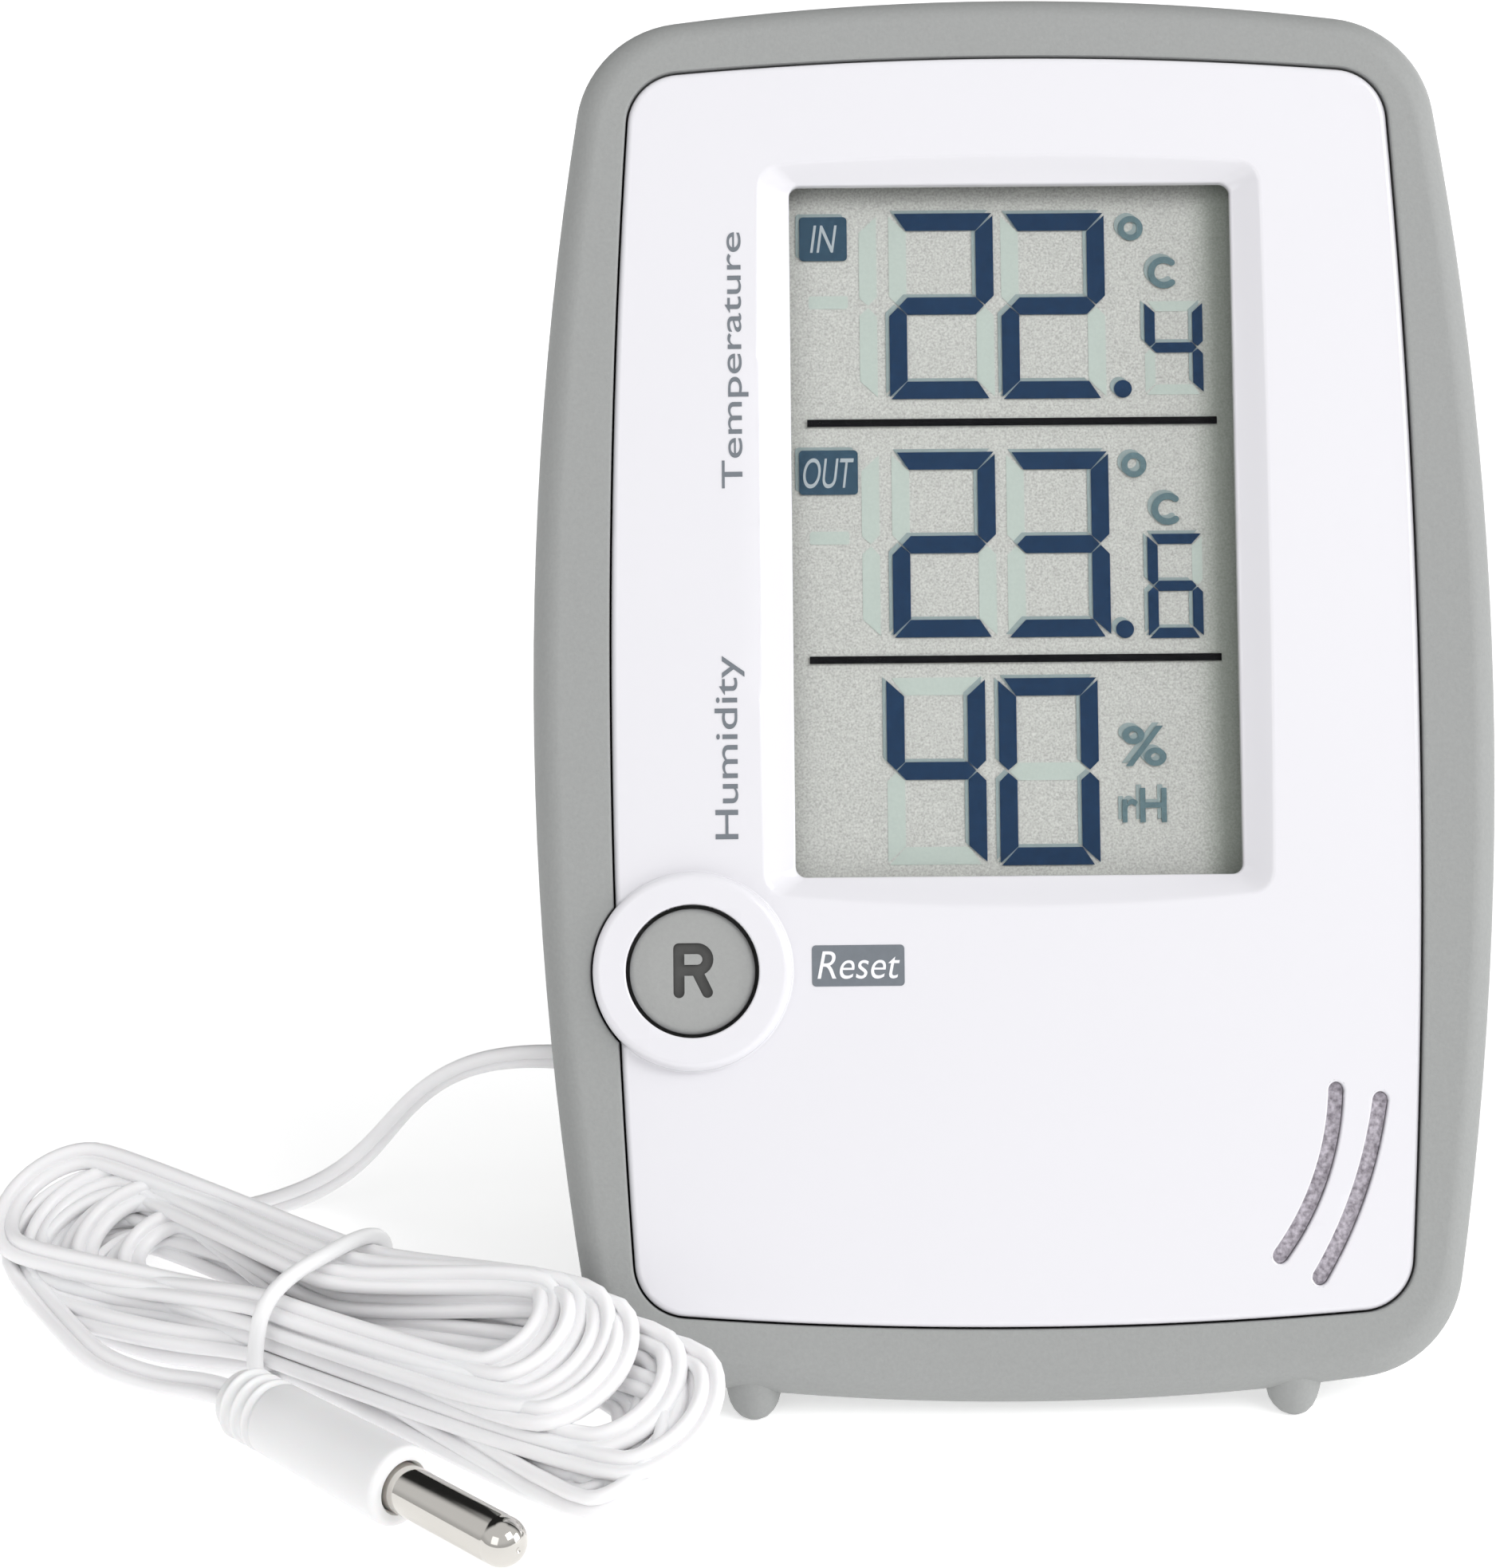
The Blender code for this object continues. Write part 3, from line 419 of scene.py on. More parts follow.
def lcd_material():
    """Reflector film of a liquid crystal display: a fine silvery speckle, with painted shade in a band along
    its right edge where the bezel's shadow falls.
    """
    right_edge = face_box("lcd_panel")[1].x
    mat = material("lcd_reflector", (0.39, 0.40, 0.38), 0.42, grain=(0.16, 0.25, 0.02), wear=(0.2, 0.1),
                   Specular_IOR_Level=0.2)
    tree = mat.node_tree
    place = tree.nodes["Texture Coordinate"].outputs["Object"]
    split = tree.nodes.new("ShaderNodeSeparateXYZ")
    tree.links.new(place, split.inputs["Vector"])
    speckle = mix(tree, noise(tree, place, 0.16, 1.0), (0.20, 0.205, 0.192), (0.53, 0.54, 0.515))
    # painted shade: the colour darkens over the last few mm before the panel's right edge, standing in for
    # the bezel's shadow there
    edge = ramp(tree, split.outputs["X"], (right_edge - 5.2) * MM, (right_edge - 2.2) * MM, 0.0, 0.62)
    speckle_with_painted_shade = mix(tree, edge, speckle, (0.185, 0.215, 0.18))
    tree.links.new(speckle_with_painted_shade, tree.nodes["Principled BSDF"].inputs["Base Color"])
    return mat


def felt_material():
    """Pressed fibre: a noise that goes from dark to pale tufts over its middle values."""
    mat = material("vent_felt_grey", (0.26, 0.23, 0.265), 0.95, grain=(0.35, 0.9, 0.12), Sheen_Weight=0.3)
    tree = mat.node_tree
    place = tree.nodes["Texture Coordinate"].outputs["Object"]
    tufts = tree.nodes.new("ShaderNodeValToRGB")
    stops = ((0.3, (0.22, 0.20, 0.225)), (0.72, (0.60, 0.56, 0.62)))
    for element, (position, colour) in zip(tufts.color_ramp.elements, stops):
        element.position = position
        element.color = (*colour, 1.0)
    tree.links.new(noise(tree, place, 0.35, 3.0), tufts.inputs["Fac"])
    tree.links.new(tufts.outputs["Color"], tree.nodes["Principled BSDF"].inputs["Base Color"])
    return mat


# ---- cord, tie and probe

CORE_RADIUS = 0.56             # each of the twin cores
LEAD_TURN = 90.0               # length over which the lead turns from its edge to its flat side
CORD_FACE = Vector((0.1, -0.85, 0.52)).normalized()      # the twin's flat side mostly turns this way
HANK_LEFT = Vector((-71.5, -5.5, 0.0))
HANK_RIGHT = Vector((-30.5, -36.3, 0.0))
HANK_SPAN = (HANK_RIGHT - HANK_LEFT).length
ALONG = (HANK_RIGHT - HANK_LEFT).normalized()
ACROSS = Vector((-ALONG.y, ALONG.x, 0.0))
TIE_AT = 0.46 * HANK_SPAN
TIE_RADIUS = 0.62
PROBE_YAW = radians(-44.8)
PROBE_AXIS = Vector((cos(PROBE_YAW), sin(PROBE_YAW), 0.0))
PROBE_LENGTH = 18.5
PROBE_TIP_LENGTH = 12.0
# The cord on its way down from the wall, and from the last turn to the probe.
LEAD_DOWN = ((-41.0, -5.6, 19.3), (-44.6, -2.2, 16.3), (-47.6, 1.4, 12.3), (-50.2, 4.4, 8.0),
             (-52.8, 6.8, 4.4), (-55.8, 7.8, 2.0), (-58.8, 7.0, 1.1), (-61.6, 5.0, 1.2))
LEAD_ON = ((-71.9, -17.0, 1.5), (-70.0, -19.4, 1.0), (-67.2, -21.7, 1.0), (-64.2, -23.8, 1.3),
           (-61.2, -26.2, 2.4))
# Each turn's ends are (along, across, radius, height at the front, height at the back).
LEFT_ENDS = (
    (2.2, -1.8, 4.8, 1.3, 4.6), (4.2, -2.0, 4.4, 1.2, 4.2), (1.0, -1.9, 5.2, 1.4, 5.6),
    (5.6, -1.6, 4.0, 1.5, 4.8), (1.4, -1.2, 5.0, 2.2, 6.6), (6.4, -0.8, 3.4, 2.2, 5.4),
    (3.0, -0.6, 4.3, 2.8, 7.1), (0.0, -0.6, 5.0, 3.0, 8.0), (7.4, 0.0, 3.0, 4.0, 6.8),
    (-3.2, -0.7, 5.0, 4.2, 8.9), (4.0, -0.2, 4.2, 3.4, 7.9), (-1.2, -1.2, 5.4, 1.9, 7.2))
RIGHT_ENDS = (
    (51.2, -2.0, 4.6, 1.4, 6.6), (49.4, -2.2, 4.3, 1.2, 5.8), (53.6, 0.4, 5.4, 4.2, 9.2),
    (52.6, -2.3, 5.0, 1.7, 7.6), (52.2, 0.0, 5.2, 3.0, 8.4), (50.6, 0.6, 5.0, 4.8, 9.6),
    (49.2, -0.2, 4.9, 2.6, 7.8), (46.2, 0.2, 5.3, 5.8, 11.0), (44.3, 0.4, 5.0, 6.3, 11.4),
    (42.3, 0.5, 4.6, 6.8, 11.5), (40.4, 0.5, 4.1, 7.2, 11.3))
# Places at the tie, (across, height), for the front and the back run of each turn.
FRONT_SLOTS = ((-3.9, 2.0), (-1.6, 2.0), (-4.9, 3.3), (-2.6, 3.3), (-0.2, 3.3), (-4.9, 4.7),
               (0.6, 2.0), (-2.6, 4.6), (-4.9, 5.9), (-2.7, 5.9), (-4.6, 7.2))
BACK_SLOTS = ((2.4, 3.4), (4.6, 3.3), (4.9, 5.8), (2.5, 4.7), (2.6, 6.0), (4.7, 7.0),
              (0.2, 4.8), (0.3, 6.1), (4.0, 8.3), (1.8, 8.5), (-0.5, 8.5))
# The first turns bulge towards the front, at (across, height), before they reach the tie.
BULGE_AT = 13.5
FRONT_BULGES = ((-7.6, 1.4), (-5.6, 1.3), (-7.3, 2.8), (-5.2, 2.7))


def hank_point(along, across, height):
    return HANK_LEFT + ALONG * along + ACROSS * across + Vector((0, 0, height))


def end_pass(end, first, last, steps=6):
    """Points round one end of a turn, from the first to the last angle in degrees."""
    along, across, radius, front, back = end
    points = []
    for i in range(steps + 1):
        angle = radians(first + (last - first) * i / steps)
        share = (sin(angle) + 1) / 2
        points.append(hank_point(along + radius * cos(angle), across + radius * sin(angle),
                    front + (back - front) * share))
    return points


def tie_pass(slot, direction):
    """Points of one run where it goes straight through the tie."""
    across, height = slot
    return [hank_point(TIE_AT + direction * step, across, height) for step in (-3.0, 0.0, 3.0)]


def spline(points, spacing):
    """A smooth curve that starts and ends on the end points and rounds the ones between."""
    knots = [Vector(p) for p in points]
    knots = [2 * knots[0] - knots[1]] + knots + [2 * knots[-1] - knots[-2]]
    route = []
    for a, b, c, d in zip(knots, knots[1:], knots[2:], knots[3:]):
        steps = max(1, ceil((c - b).length / spacing))
        for i in range(steps):
            t = i / steps
            route.append((a * (1 - t) ** 3 + b * (3 * t ** 3 - 6 * t * t + 4)
                          + c * (-3 * t ** 3 + 3 * t * t + 3 * t + 1) + d * t ** 3) / 6)
    route.append((knots[-3] + 4 * knots[-2] + knots[-1]) / 6)
    return route


def cord_route():
    """From the left wall down to the ground, round the hank and on to the probe."""
    mouth = face_centre("cord_gland")
    mouth.x = face_box("cord_gland")[0].x - GAP
    start = FACE @ mouth / MM
    route = [start, start + Vector((-2.5, 0, 0.1))] + [Vector(p) for p in LEAD_DOWN]
    for turn, (left, right, front, back) in enumerate(zip(LEFT_ENDS, RIGHT_ENDS, FRONT_SLOTS, BACK_SLOTS)):
        route += end_pass(left, 80, 280)
        route += [hank_point(BULGE_AT, *bulge) for bulge in FRONT_BULGES[turn:turn + 1]]
        route += tie_pass(front, 1) + end_pass(right, -80, 80) + tie_pass(back, -1)
    route += end_pass(LEFT_ENDS[-1], 80, 230) + [Vector(p) for p in LEAD_ON]
    rear = probe_rear()
    route += [rear - PROBE_AXIS * 1.2, rear - PROBE_AXIS * GAP]
    return spline(route, 0.9)


def probe_rear():
    """The middle of the probe body's rear face, half its length back from its box's middle."""
    low, high = (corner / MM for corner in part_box("probe_body"))
    return (low + high) / 2 - PROBE_AXIS * PROBE_LENGTH / 2


def twin_section(tilt):
    """The outline of two joined cores, turned by an angle."""
    points = []
    for side in (0, pi):
        for i in range(12):
            angle = side + radians(-165 + 330 * i / 11)
            x = CORE_RADIUS * cos(angle) + CORE_RADIUS * cos(side)
            y = CORE_RADIUS * sin(angle)
            points.append((x * cos(tilt) - y * sin(tilt), x * sin(tilt) + y * cos(tilt)))
    return points


def make_cord(mats):
    route = cord_route()
    rings = []
    distance = 0.0
    side = Vector((0, 0, 0))
    for i, point in enumerate(route):
        tangent = (route[min(i + 1, len(route) - 1)] - route[max(i - 1, 0)]).normalized()
        side = tangent.cross(CORD_FACE) + side * 0.4
        side = (side - tangent * side.dot(tangent)).normalized()
        up = side.cross(tangent)
        if i:
            distance += (point - route[i - 1]).length
        lead_turn = radians(55) * max(0.0, 1 - distance / LEAD_TURN)
        tilt = lead_turn + radians(24) * sin(distance / 17.0) + radians(12) * sin(distance / 7.3)
        rings.append([point + side * x + up * y for x, y in twin_section(tilt)])
    cord = piece(loft(rings), "cord", mats["cord"], ROW, 50)
    fit(cord, "instrument", "cord_white", "cord_lead", "cord_hank", "probe_lead")


def sweep(points, radius, sides=14):
    """A wire along a path, whose radius is a function of the share along it."""
    rings = []
    last = len(points) - 1
    for i, point in enumerate(points):
        tangent = (points[min(i + 1, last)] - points[max(i - 1, 0)]).normalized()
        side = tangent.cross(ALONG).normalized()
        up = side.cross(tangent)
        rings.append([point + (side * x + up * y) * radius(i / last)
                      for x, y in circle(0.0, 0.0, 1.0, sides)])
    return loft(rings)


def make_tie(mats):
    """A plastic-covered wire wrapped once round the hank, its ends laid past each other below."""
    low, high = (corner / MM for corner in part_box("hank_tie"))
    half_width = (high - low).x / (2 * abs(ACROSS.x)) - 1.3
    half_height = (high.z - low.z) / 2 - TIE_RADIUS
    centre_z = (high.z + low.z) / 2
    points = []
    for i in range(150):
        turn = -0.56 + 1.12 * i / 149
        angle = pi / 2 - 2 * pi * turn
        wide, tall = (copysign(abs(share) ** 0.62, share) for share in (cos(angle), sin(angle)))
        drift = copysign(0.75 * min(1.0, max(0.0, abs(turn) - 0.42) / 0.14), turn)
        points.append(hank_point(TIE_AT + drift + 0.9 * tall, half_width * wide,
                    centre_z + half_height * tall))

    def rounded_ends(share):
        return TIE_RADIUS * (1 - 0.85 * max(0.0, abs(2 * share - 1) - 0.985) / 0.015)

    tie = piece(sweep(points, rounded_ends), "hank_tie_wire", mats["tie"], ROW, 50)
    return fit(tie, "instrument", "cord_white", "hank_tie")


def make_probe(mats):
    """Ribbed plastic grip and the closed metal tube that holds the sensor."""
    lay = Matrix.Translation(probe_rear()) @ Matrix.Rotation(PROBE_YAW, 4, "Z") @ TO_RIGHT
    length = PROBE_LENGTH
    profile = [(0.9, 0.45), (1.15, 0.12)] + arc(2.0, 0.35, 0.35, -90, 0, 4)
    for i in range(3):
        start = 0.75 + 1.2 * i
        profile += [(2.42, start)] + arc(2.5, start + 0.42, 0.24, -80, 80, 5) + [(2.42, start + 0.84)]
    profile += arc(2.5, 4.55, 0.22, -80, 0, 3)
    profile += [(2.78, 8.0), (2.9, 12.5), (3.0, length - 1.0)]
    profile += arc(2.4, length - 0.6, 0.6, 0, 90, 6)
    profile += [(radius, length - short)
                for radius, short in ((2.05, 0.05), (1.9, 0.3), (1.86, 1.2), (1.0, 1.4))]
    grip = piece(turned(profile, 72), "probe_grip", mats["probe"], ROW @ lay, 50)
    fit(grip, "instrument", "probe_white", "probe_body")
    end = length + PROBE_TIP_LENGTH
    profile = [(1.0, length - 1.35), (1.8, length - 1.3), (1.8, end - 2.35), (1.77, end - 2.2),
               (1.77, end - 2.05), (1.8, end - 1.9)]
    profile += arc(0.1, end - 1.75, 1.7, 5, 84, 12)
    profile += [(0.2, end - 0.1), (0.12, end - 0.16), (0.03, end - 0.17)]
    tip = piece(turned(profile, 72), "probe_sleeve", mats["chrome"], ROW @ lay, 50)
    fit(tip, "instrument", "probe_chrome", "probe_tip")
    return [grip, tip]


# ---- housing

HALF_WIDTH = 36.15
HEIGHT = 106.0
DEPTH = 21.0
SIDE_RADIUS = 281.0
END_RADIUS = 200.0
CORNER_RADIUS = 8.5
WIDEST_Y = 3.0
SIDE_TAPER = 8.0               # how far each side comes in at the back
SIDE_POWER = 2.2
END_TAPER = 10.8
END_POWER = 1.25
WALL = 1.8
FRONT_ROUND = 2.1
BACK_ROUND = 0.6
COVER_HALF_WIDTH = 30.2
COVER_HALF_HEIGHT = 47.65
COVER_MIDDLE = 53.25
COVER_FRONT = 0.2
COVER_BACK = 2.0
BOSS_RADIUS = 7.4              # the raised round that the key sits in
BOSS_FRONT = -0.9
KEY_RADIUS = 4.65
KEY_HOLE_RADIUS = 4.93
SEAM = 0.14                    # the line round the cover
SLOT_WIDTH = 1.2
SLOTS = (((23.24, 22.81), (22.1, 16.73), (18.85, 10.63)), ((26.52, 22.07), (24.77, 15.24), (21.75, 9.03)))
WINDOW = (-16.55, 16.85, 38.94, 91.4)
BAY = (-25.0, 25.0, 60.3, 73.0)
STAND_OPEN = 37.4              # degrees from flat
CASE_SCREWS = [f"case_screw_{i}" for i in (1, 2, 3, 4)]
BOARD_SCREWS = [f"board_screw_{i}" for i in (1, 2, 3)]


def housing_ring(y, side, end):
    corner = CORNER_RADIUS - 0.25 * (side + end) / 2
    outline = barrel(HALF_WIDTH - side, HEIGHT / 2 - end, HEIGHT / 2, SIDE_RADIUS, END_RADIUS, corner)
    return at_depth(outline, y)


def narrowed_ring(y, inset=0.0):
    """The housing's outline at a depth, narrowed towards the back and moved in by an inset."""
    share = max(0.0, (y - WIDEST_Y) / (DEPTH - WIDEST_Y))
    return housing_ring(y, SIDE_TAPER * share ** SIDE_POWER + inset, END_TAPER * share ** END_POWER + inset)


def housing_rings():
    rings = []
    steps = 10
    for i in range(steps):
        angle = pi / 2 * (1 - i / steps)
        inset = FRONT_ROUND * (1 - cos(angle))
        rings.append(housing_ring(WIDEST_Y * (1 - sin(angle)), inset, inset))
    rings += [narrowed_ring(WIDEST_Y + (DEPTH - BACK_ROUND - WIDEST_Y) * i / 13) for i in range(14)]
    for i in range(1, 6):
        angle = pi / 2 * i / 5
        y = DEPTH - BACK_ROUND * (1 - sin(angle))
        inset = BACK_ROUND * (1 - cos(angle))
        rings.append(narrowed_ring(y, inset))
    return rings + [narrowed_ring(y, inset + BACK_ROUND)]


def cover_outline(grow=0.0):
    return barrel(COVER_HALF_WIDTH + grow, COVER_HALF_HEIGHT + grow, COVER_MIDDLE, 627.0, 320.0, 4.0 + grow)


def make_housing(mats):
    button = face_centre("reset_button")
    door = face_box("battery_door")
    screws = [face_centre(name) for name in CASE_SCREWS]
    stand_x = face_box("stand")[1].x - 1.9
    gland = face_centre("cord_gland")
    housing = piece(loft(housing_rings()), "housing", mats["grey"])
    carve(housing, "DIFFERENCE", [
        loft([narrowed_ring(y, WALL) for y in (2.3, 6.0, 10.0, 14.0, 17.0, 19.2)]),
        prism(cover_outline(SEAM), -1.0, 2.6),
        post(button.x, button.z, BOSS_RADIUS + SEAM, -1.5, 2.6, 96)])
    carve(housing, "UNION", [
        block(BAY[0] - 2.2, BAY[1] + 2.2, BAY[2] - 2.5, BAY[3] + 2.6, 8.2, 19.7),
        block(-14.2, 14.2, 9.7, 55.0, 15.8, 19.0)] + [post(s.x, s.z, 3.4, 12.0, 19.5) for s in screws])
    clear = 0.35
    carve(housing, "DIFFERENCE", [
        block(*BAY, 9.0, 25.0, 1.0),
        block(door[0].x - clear, door[1].x + clear, door[0].z - clear, door[1].z + clear, 19.5, 25.0, 1.0),
        block(-stand_x - 0.4, stand_x + 0.4, 5.0, 53.2, 17.6, 25.0),
        turned([(1.8, -13.0), (1.8, 13.0)], 32, TO_RIGHT, (0, 18.9, 50.0)),
        turned([(2.2, 27.0), (2.2, 40.0)], 40, TO_LEFT, (0, gland.y, gland.z))])
    for s in screws:
        carve(housing, "DIFFERENCE", [post(s.x, s.z, 1.35, 11.0, 25.0), post(s.x, s.z, 2.6, 17.3, 25.0)])
    bevel(housing, 0.22, 2, 50)
    keep_flat(housing)
    fit(housing, "instrument", "soft_grey", "rear_housing")


def crown(x, z):
    """How far the cover's face swells forward of flat, mm."""
    across = x / COVER_HALF_WIDTH
    along = (z - COVER_MIDDLE) / COVER_HALF_HEIGHT
    swell = 0.42 * max(0.0, 1 - across * across)
    return swell + 0.2 * max(0.0, 1 - along * along) * max(0.0, 1 - across ** 4)


def mouth_outline(x0, x1, z0, z1, radius, bow_top, bow_bottom, bow_side, steps=8):
    """A four-sided outline whose sides bow outward, with the same points for every size."""
    points = []
    cx, cz = (x0 + x1) / 2, (z0 + z1) / 2
    corners = ((x1 - radius, z1 - radius), (x0 + radius, z1 - radius),
               (x0 + radius, z0 + radius), (x1 - radius, z0 + radius))
    for quarter, (px, pz) in enumerate(corners):
        points += [round_point(px, pz, radius, pi / 2 * (quarter + step / 6)) for step in range(7)]
        nx, nz = corners[(quarter + 1) % 4]
        for t in [step / steps for step in range(1, steps)]:
            points.append(round_point(px + (nx - px) * t, pz + (nz - pz) * t, radius, pi / 2 * (quarter + 1)))
    bowed = []
    for x, z in points:
        u, w = (x - cx) / ((x1 - x0) / 2), (z - cz) / ((z1 - z0) / 2)
        lift = (bow_top if w > 0 else -bow_bottom) * (1 - u * u) * abs(w) ** 3
        push = bow_side * (1 - w * w) * u
        bowed.append((x + push, z + lift))
    return bowed


def slot_outline(points, width, steps=24):
    """A slot of even width along the arc through three points, with round ends."""
    (x1, z1), (x2, z2), (x3, z3) = points
    d = 2 * (x1 * (z2 - z3) + x2 * (z3 - z1) + x3 * (z1 - z2))
    s1, s2, s3 = x1 * x1 + z1 * z1, x2 * x2 + z2 * z2, x3 * x3 + z3 * z3
    cx = (s1 * (z2 - z3) + s2 * (z3 - z1) + s3 * (z1 - z2)) / d
    cz = (s1 * (x3 - x2) + s2 * (x1 - x3) + s3 * (x2 - x1)) / d
    radius = hypot(x1 - cx, z1 - cz)
    start, end = atan2(z1 - cz, x1 - cx), atan2(z3 - cz, x3 - cx)
    path = [round_point(cx, cz, radius, start + (end - start) * i / steps) for i in range(steps + 1)]
    return stroke_outline(path, width)


def stroke_outline(path, width, cap=6):
    """The outline of a pen stroke of even width along a path, with round ends."""
    half = width / 2
    left, right = [], []
    count = len(path)
    for i, (x, z) in enumerate(path):
        ax, az = path[max(i - 1, 0)]
        bx, bz = path[min(i + 1, count - 1)]
        length = hypot(bx - ax, bz - az)
        nx, nz = -(bz - az) / length, (bx - ax) / length
        left.append((x + nx * half, z + nz * half))
        right.append((x - nx * half, z - nz * half))

    def round_end(tip, near):
        start = atan2(near[1] - tip[1], near[0] - tip[0])
        return [round_point(*tip, half, start - pi * k / cap) for k in range(1, cap)]

    return left + round_end(path[-1], left[-1]) + right[::-1] + round_end(path[0], right[0])


def grid_cut(obj, spacing):
    """Split a piece's faces on an even grid across the face, so that it can be bent smoothly."""
    bm = bmesh.new()
    bm.from_mesh(obj.data)
    normals = [(FACE.to_3x3() @ Vector(axis)).normalized() for axis in ((1, 0, 0), (0, 0, 1))]
    spans = ((-COVER_HALF_WIDTH - 2, COVER_HALF_WIDTH),
             (COVER_MIDDLE - COVER_HALF_HEIGHT, COVER_MIDDLE + COVER_HALF_HEIGHT))
    for normal, axis, (low, high) in zip(normals, (0, 2), spans):
        count = ceil((high - low) / spacing)
        for i in range(1, count):
            place = Vector((0, 0, 0))
            place[axis] = low + (high - low) * i / count
            bmesh.ops.bisect_plane(bm, geom=bm.verts[:] + bm.edges[:] + bm.faces[:], plane_co=FACE @ place,
                        plane_no=normal, dist=1e-7)
    for vert in bm.verts:
        point = FACE_INVERSE @ vert.co
        share = min(1.0, max(0.0, (1.6 - point.y) / 1.2))
        if share:
            point.y -= crown(point.x, point.z) * share
            vert.co = FACE @ point
    bm.to_mesh(obj.data)
    bm.free()


def make_cover(mats):
    button = face_centre("reset_button")
    screws = [face_centre(name) for name in CASE_SCREWS]
    holes = [face_centre(name) for name in BOARD_SCREWS]
    edge = [(sin(turn) / 2 - 0.5, COVER_FRONT + (1 - cos(turn)) / 2) for turn in quarter_turn(5)]
    edge.append((0.0, COVER_BACK))
    cover = piece(loft([at_depth(cover_outline(grow), y) for grow, y in edge]), "cover", mats["white"])
    boss = [(BOSS_RADIUS - 0.7 + 0.7 * sin(turn), BOSS_FRONT + 0.7 * (1 - cos(turn)))
            for turn in quarter_turn(6)] + [(BOSS_RADIUS, COVER_BACK - 0.1)]
    carve(cover, "UNION", [loft([at_depth(circle(button.x, button.z, r, 96), y) for r, y in boss])]
          + [post(s.x, s.z, 2.6, COVER_BACK - 0.5, 11.7) for s in screws]
          + [post(h.x, h.z, 2.0, COVER_BACK - 0.5, 7.9) for h in holes])
    outer = (-19.35, 19.35, 37.3, 92.95, 1.7, 0.75, 1.25, 0.3)
    inner = (*WINDOW, 0.8, 0.0, 0.0, 0.0)
    rings = [(0.0, -0.9), (0.0, -0.2), (0.04, 0.0), (0.3, 0.42), (0.6, 0.8), (0.88, 1.14), (1.0, 1.22)]
    mouth = [at_depth(mouth_outline(*[a + (b - a) * share for a, b in zip(outer, inner)]), y)
             for share, y in rings]
    mouth.append(at_depth(mouth_outline(*inner), 3.0))
    carve(cover, "DIFFERENCE", [loft(mouth), post(button.x, button.z, KEY_HOLE_RADIUS, -2.0, 3.0, 96)]
          + [prism(slot_outline(s, SLOT_WIDTH), -1.0, 3.0) for s in SLOTS])
    carve(cover, "DIFFERENCE", [post(s.x, s.z, 1.35, 5.0, 13.0, 24) for s in screws]
          + [post(h.x, h.z, 1.2, 4.0, 10.0, 24) for h in holes])
    bevel(cover, 0.16, 3, 28)
    grid_cut(cover, 2.4)
    keep_flat(cover)
    fit(cover, "instrument", "gloss_white", "front_cover")


def make_felt(mats):
    """Felt pad that is pressed a little way into the vent slots."""
    low, high = face_box("vent_felt")
    felt = piece(block(low.x, high.x, low.z, high.z, low.y, high.y), "vent_felt_pad", mats["felt"])
    carve(felt, "UNION", [prism(slot_outline(s, SLOT_WIDTH - 0.1), 0.75, 2.6) for s in SLOTS])
    soften(felt)
    fit(felt, "instrument", "vent_felt", "vent_felt")


def make_feet(mats):
    """Two egg-ended feet that run up into the rim's lower edge as a pointed arch."""
    slope = FACE_INVERSE.to_3x3() @ Vector((0, 1, 0))
    lean = -slope.z / slope.y
    profile = [(0.25, 0.0), (0.75, 0.06), (1.15, 0.24), (1.5, 0.55), (1.78, 1.0), (1.95, 1.6), (2.05, 2.2),
               (2.0, 2.9), (1.75, 3.7), (1.3, 4.5), (0.75, 5.1), (0.25, 5.4)]
    for name in ("foot_left", "foot_right"):
        centre = face_centre(name)
        bottom = face_box(name)[0].z + 0.38
        rings = []
        for radius, rise in profile:
            tilt = max(0.0, 1 - rise / 1.2) * lean
            forward = -1.15 * max(0.0, rise - 1.2) / 2.8
            turns = circle(0.0, 0.0, radius, 40)
            rings.append([Vector((centre.x + x, centre.y + forward + y, bottom + rise - tilt * y))
                          for x, y in turns])
        foot = piece(loft(rings), name + "_peg", mats["grey"], FACE, 60)
        fit(foot, "instrument", "soft_grey", name)


# ---- display

LAYER = 0.02                   # thickness of a printed or switched layer


def flat(outline, y):
    return prism(outline, y - LAYER, y)


def merge(bms):
    """Gather separate millimetre bmeshes into one."""
    whole = bmesh.new()
    for bm in bms:
        mesh = bpy.data.meshes.new("part")
        bm.to_mesh(mesh)
        bm.free()
        whole.from_mesh(mesh)
        bpy.data.meshes.remove(mesh)
    return whole


def seven_segments(x0, x1, z0, z1, t, g=0.09):
    """Outlines of the seven bars of a digit, with mitred ends and hairline gaps."""
    x, z = (x0 + x1) / 2, (z0 + z1) / 2
    w, v = (x1 - x0) / 2, (z1 - z0) / 2
    h = t / 2
    d = t * 0.92
    top = [(g + 0.25 * t - w, v), (w - g, v), (w - d - g, v - t), (d + g - w, v - t)]
    side = [(w, v - 2 * g), (w, h + g), (w - h, g), (w - t, h), (w - t, v - d - 2 * g)]
    end = w - t - g * 0.6
    middle = [(h + g - w, 0), (-end, h), (end, h), (w - h - g, 0), (end, -h), (-end, -h)]
    bars = {"a": (top, 1, 1), "b": (side, 1, 1), "c": (side, 1, -1), "d": (top, -1, -1),
            "e": (side, -1, -1), "f": (side, -1, 1), "g": (middle, 1, 1)}
    return {name: [(x + across * u, z + up * r) for u, r in bar] for name, (bar, across, up) in bars.items()}


LIT = {"0": "abcdef", "2": "abged", "3": "abgcd", "4": "fgbc", "6": "afgecd"}
BIG = 1.34                     # bar width of the large figures
SMALL = 0.78
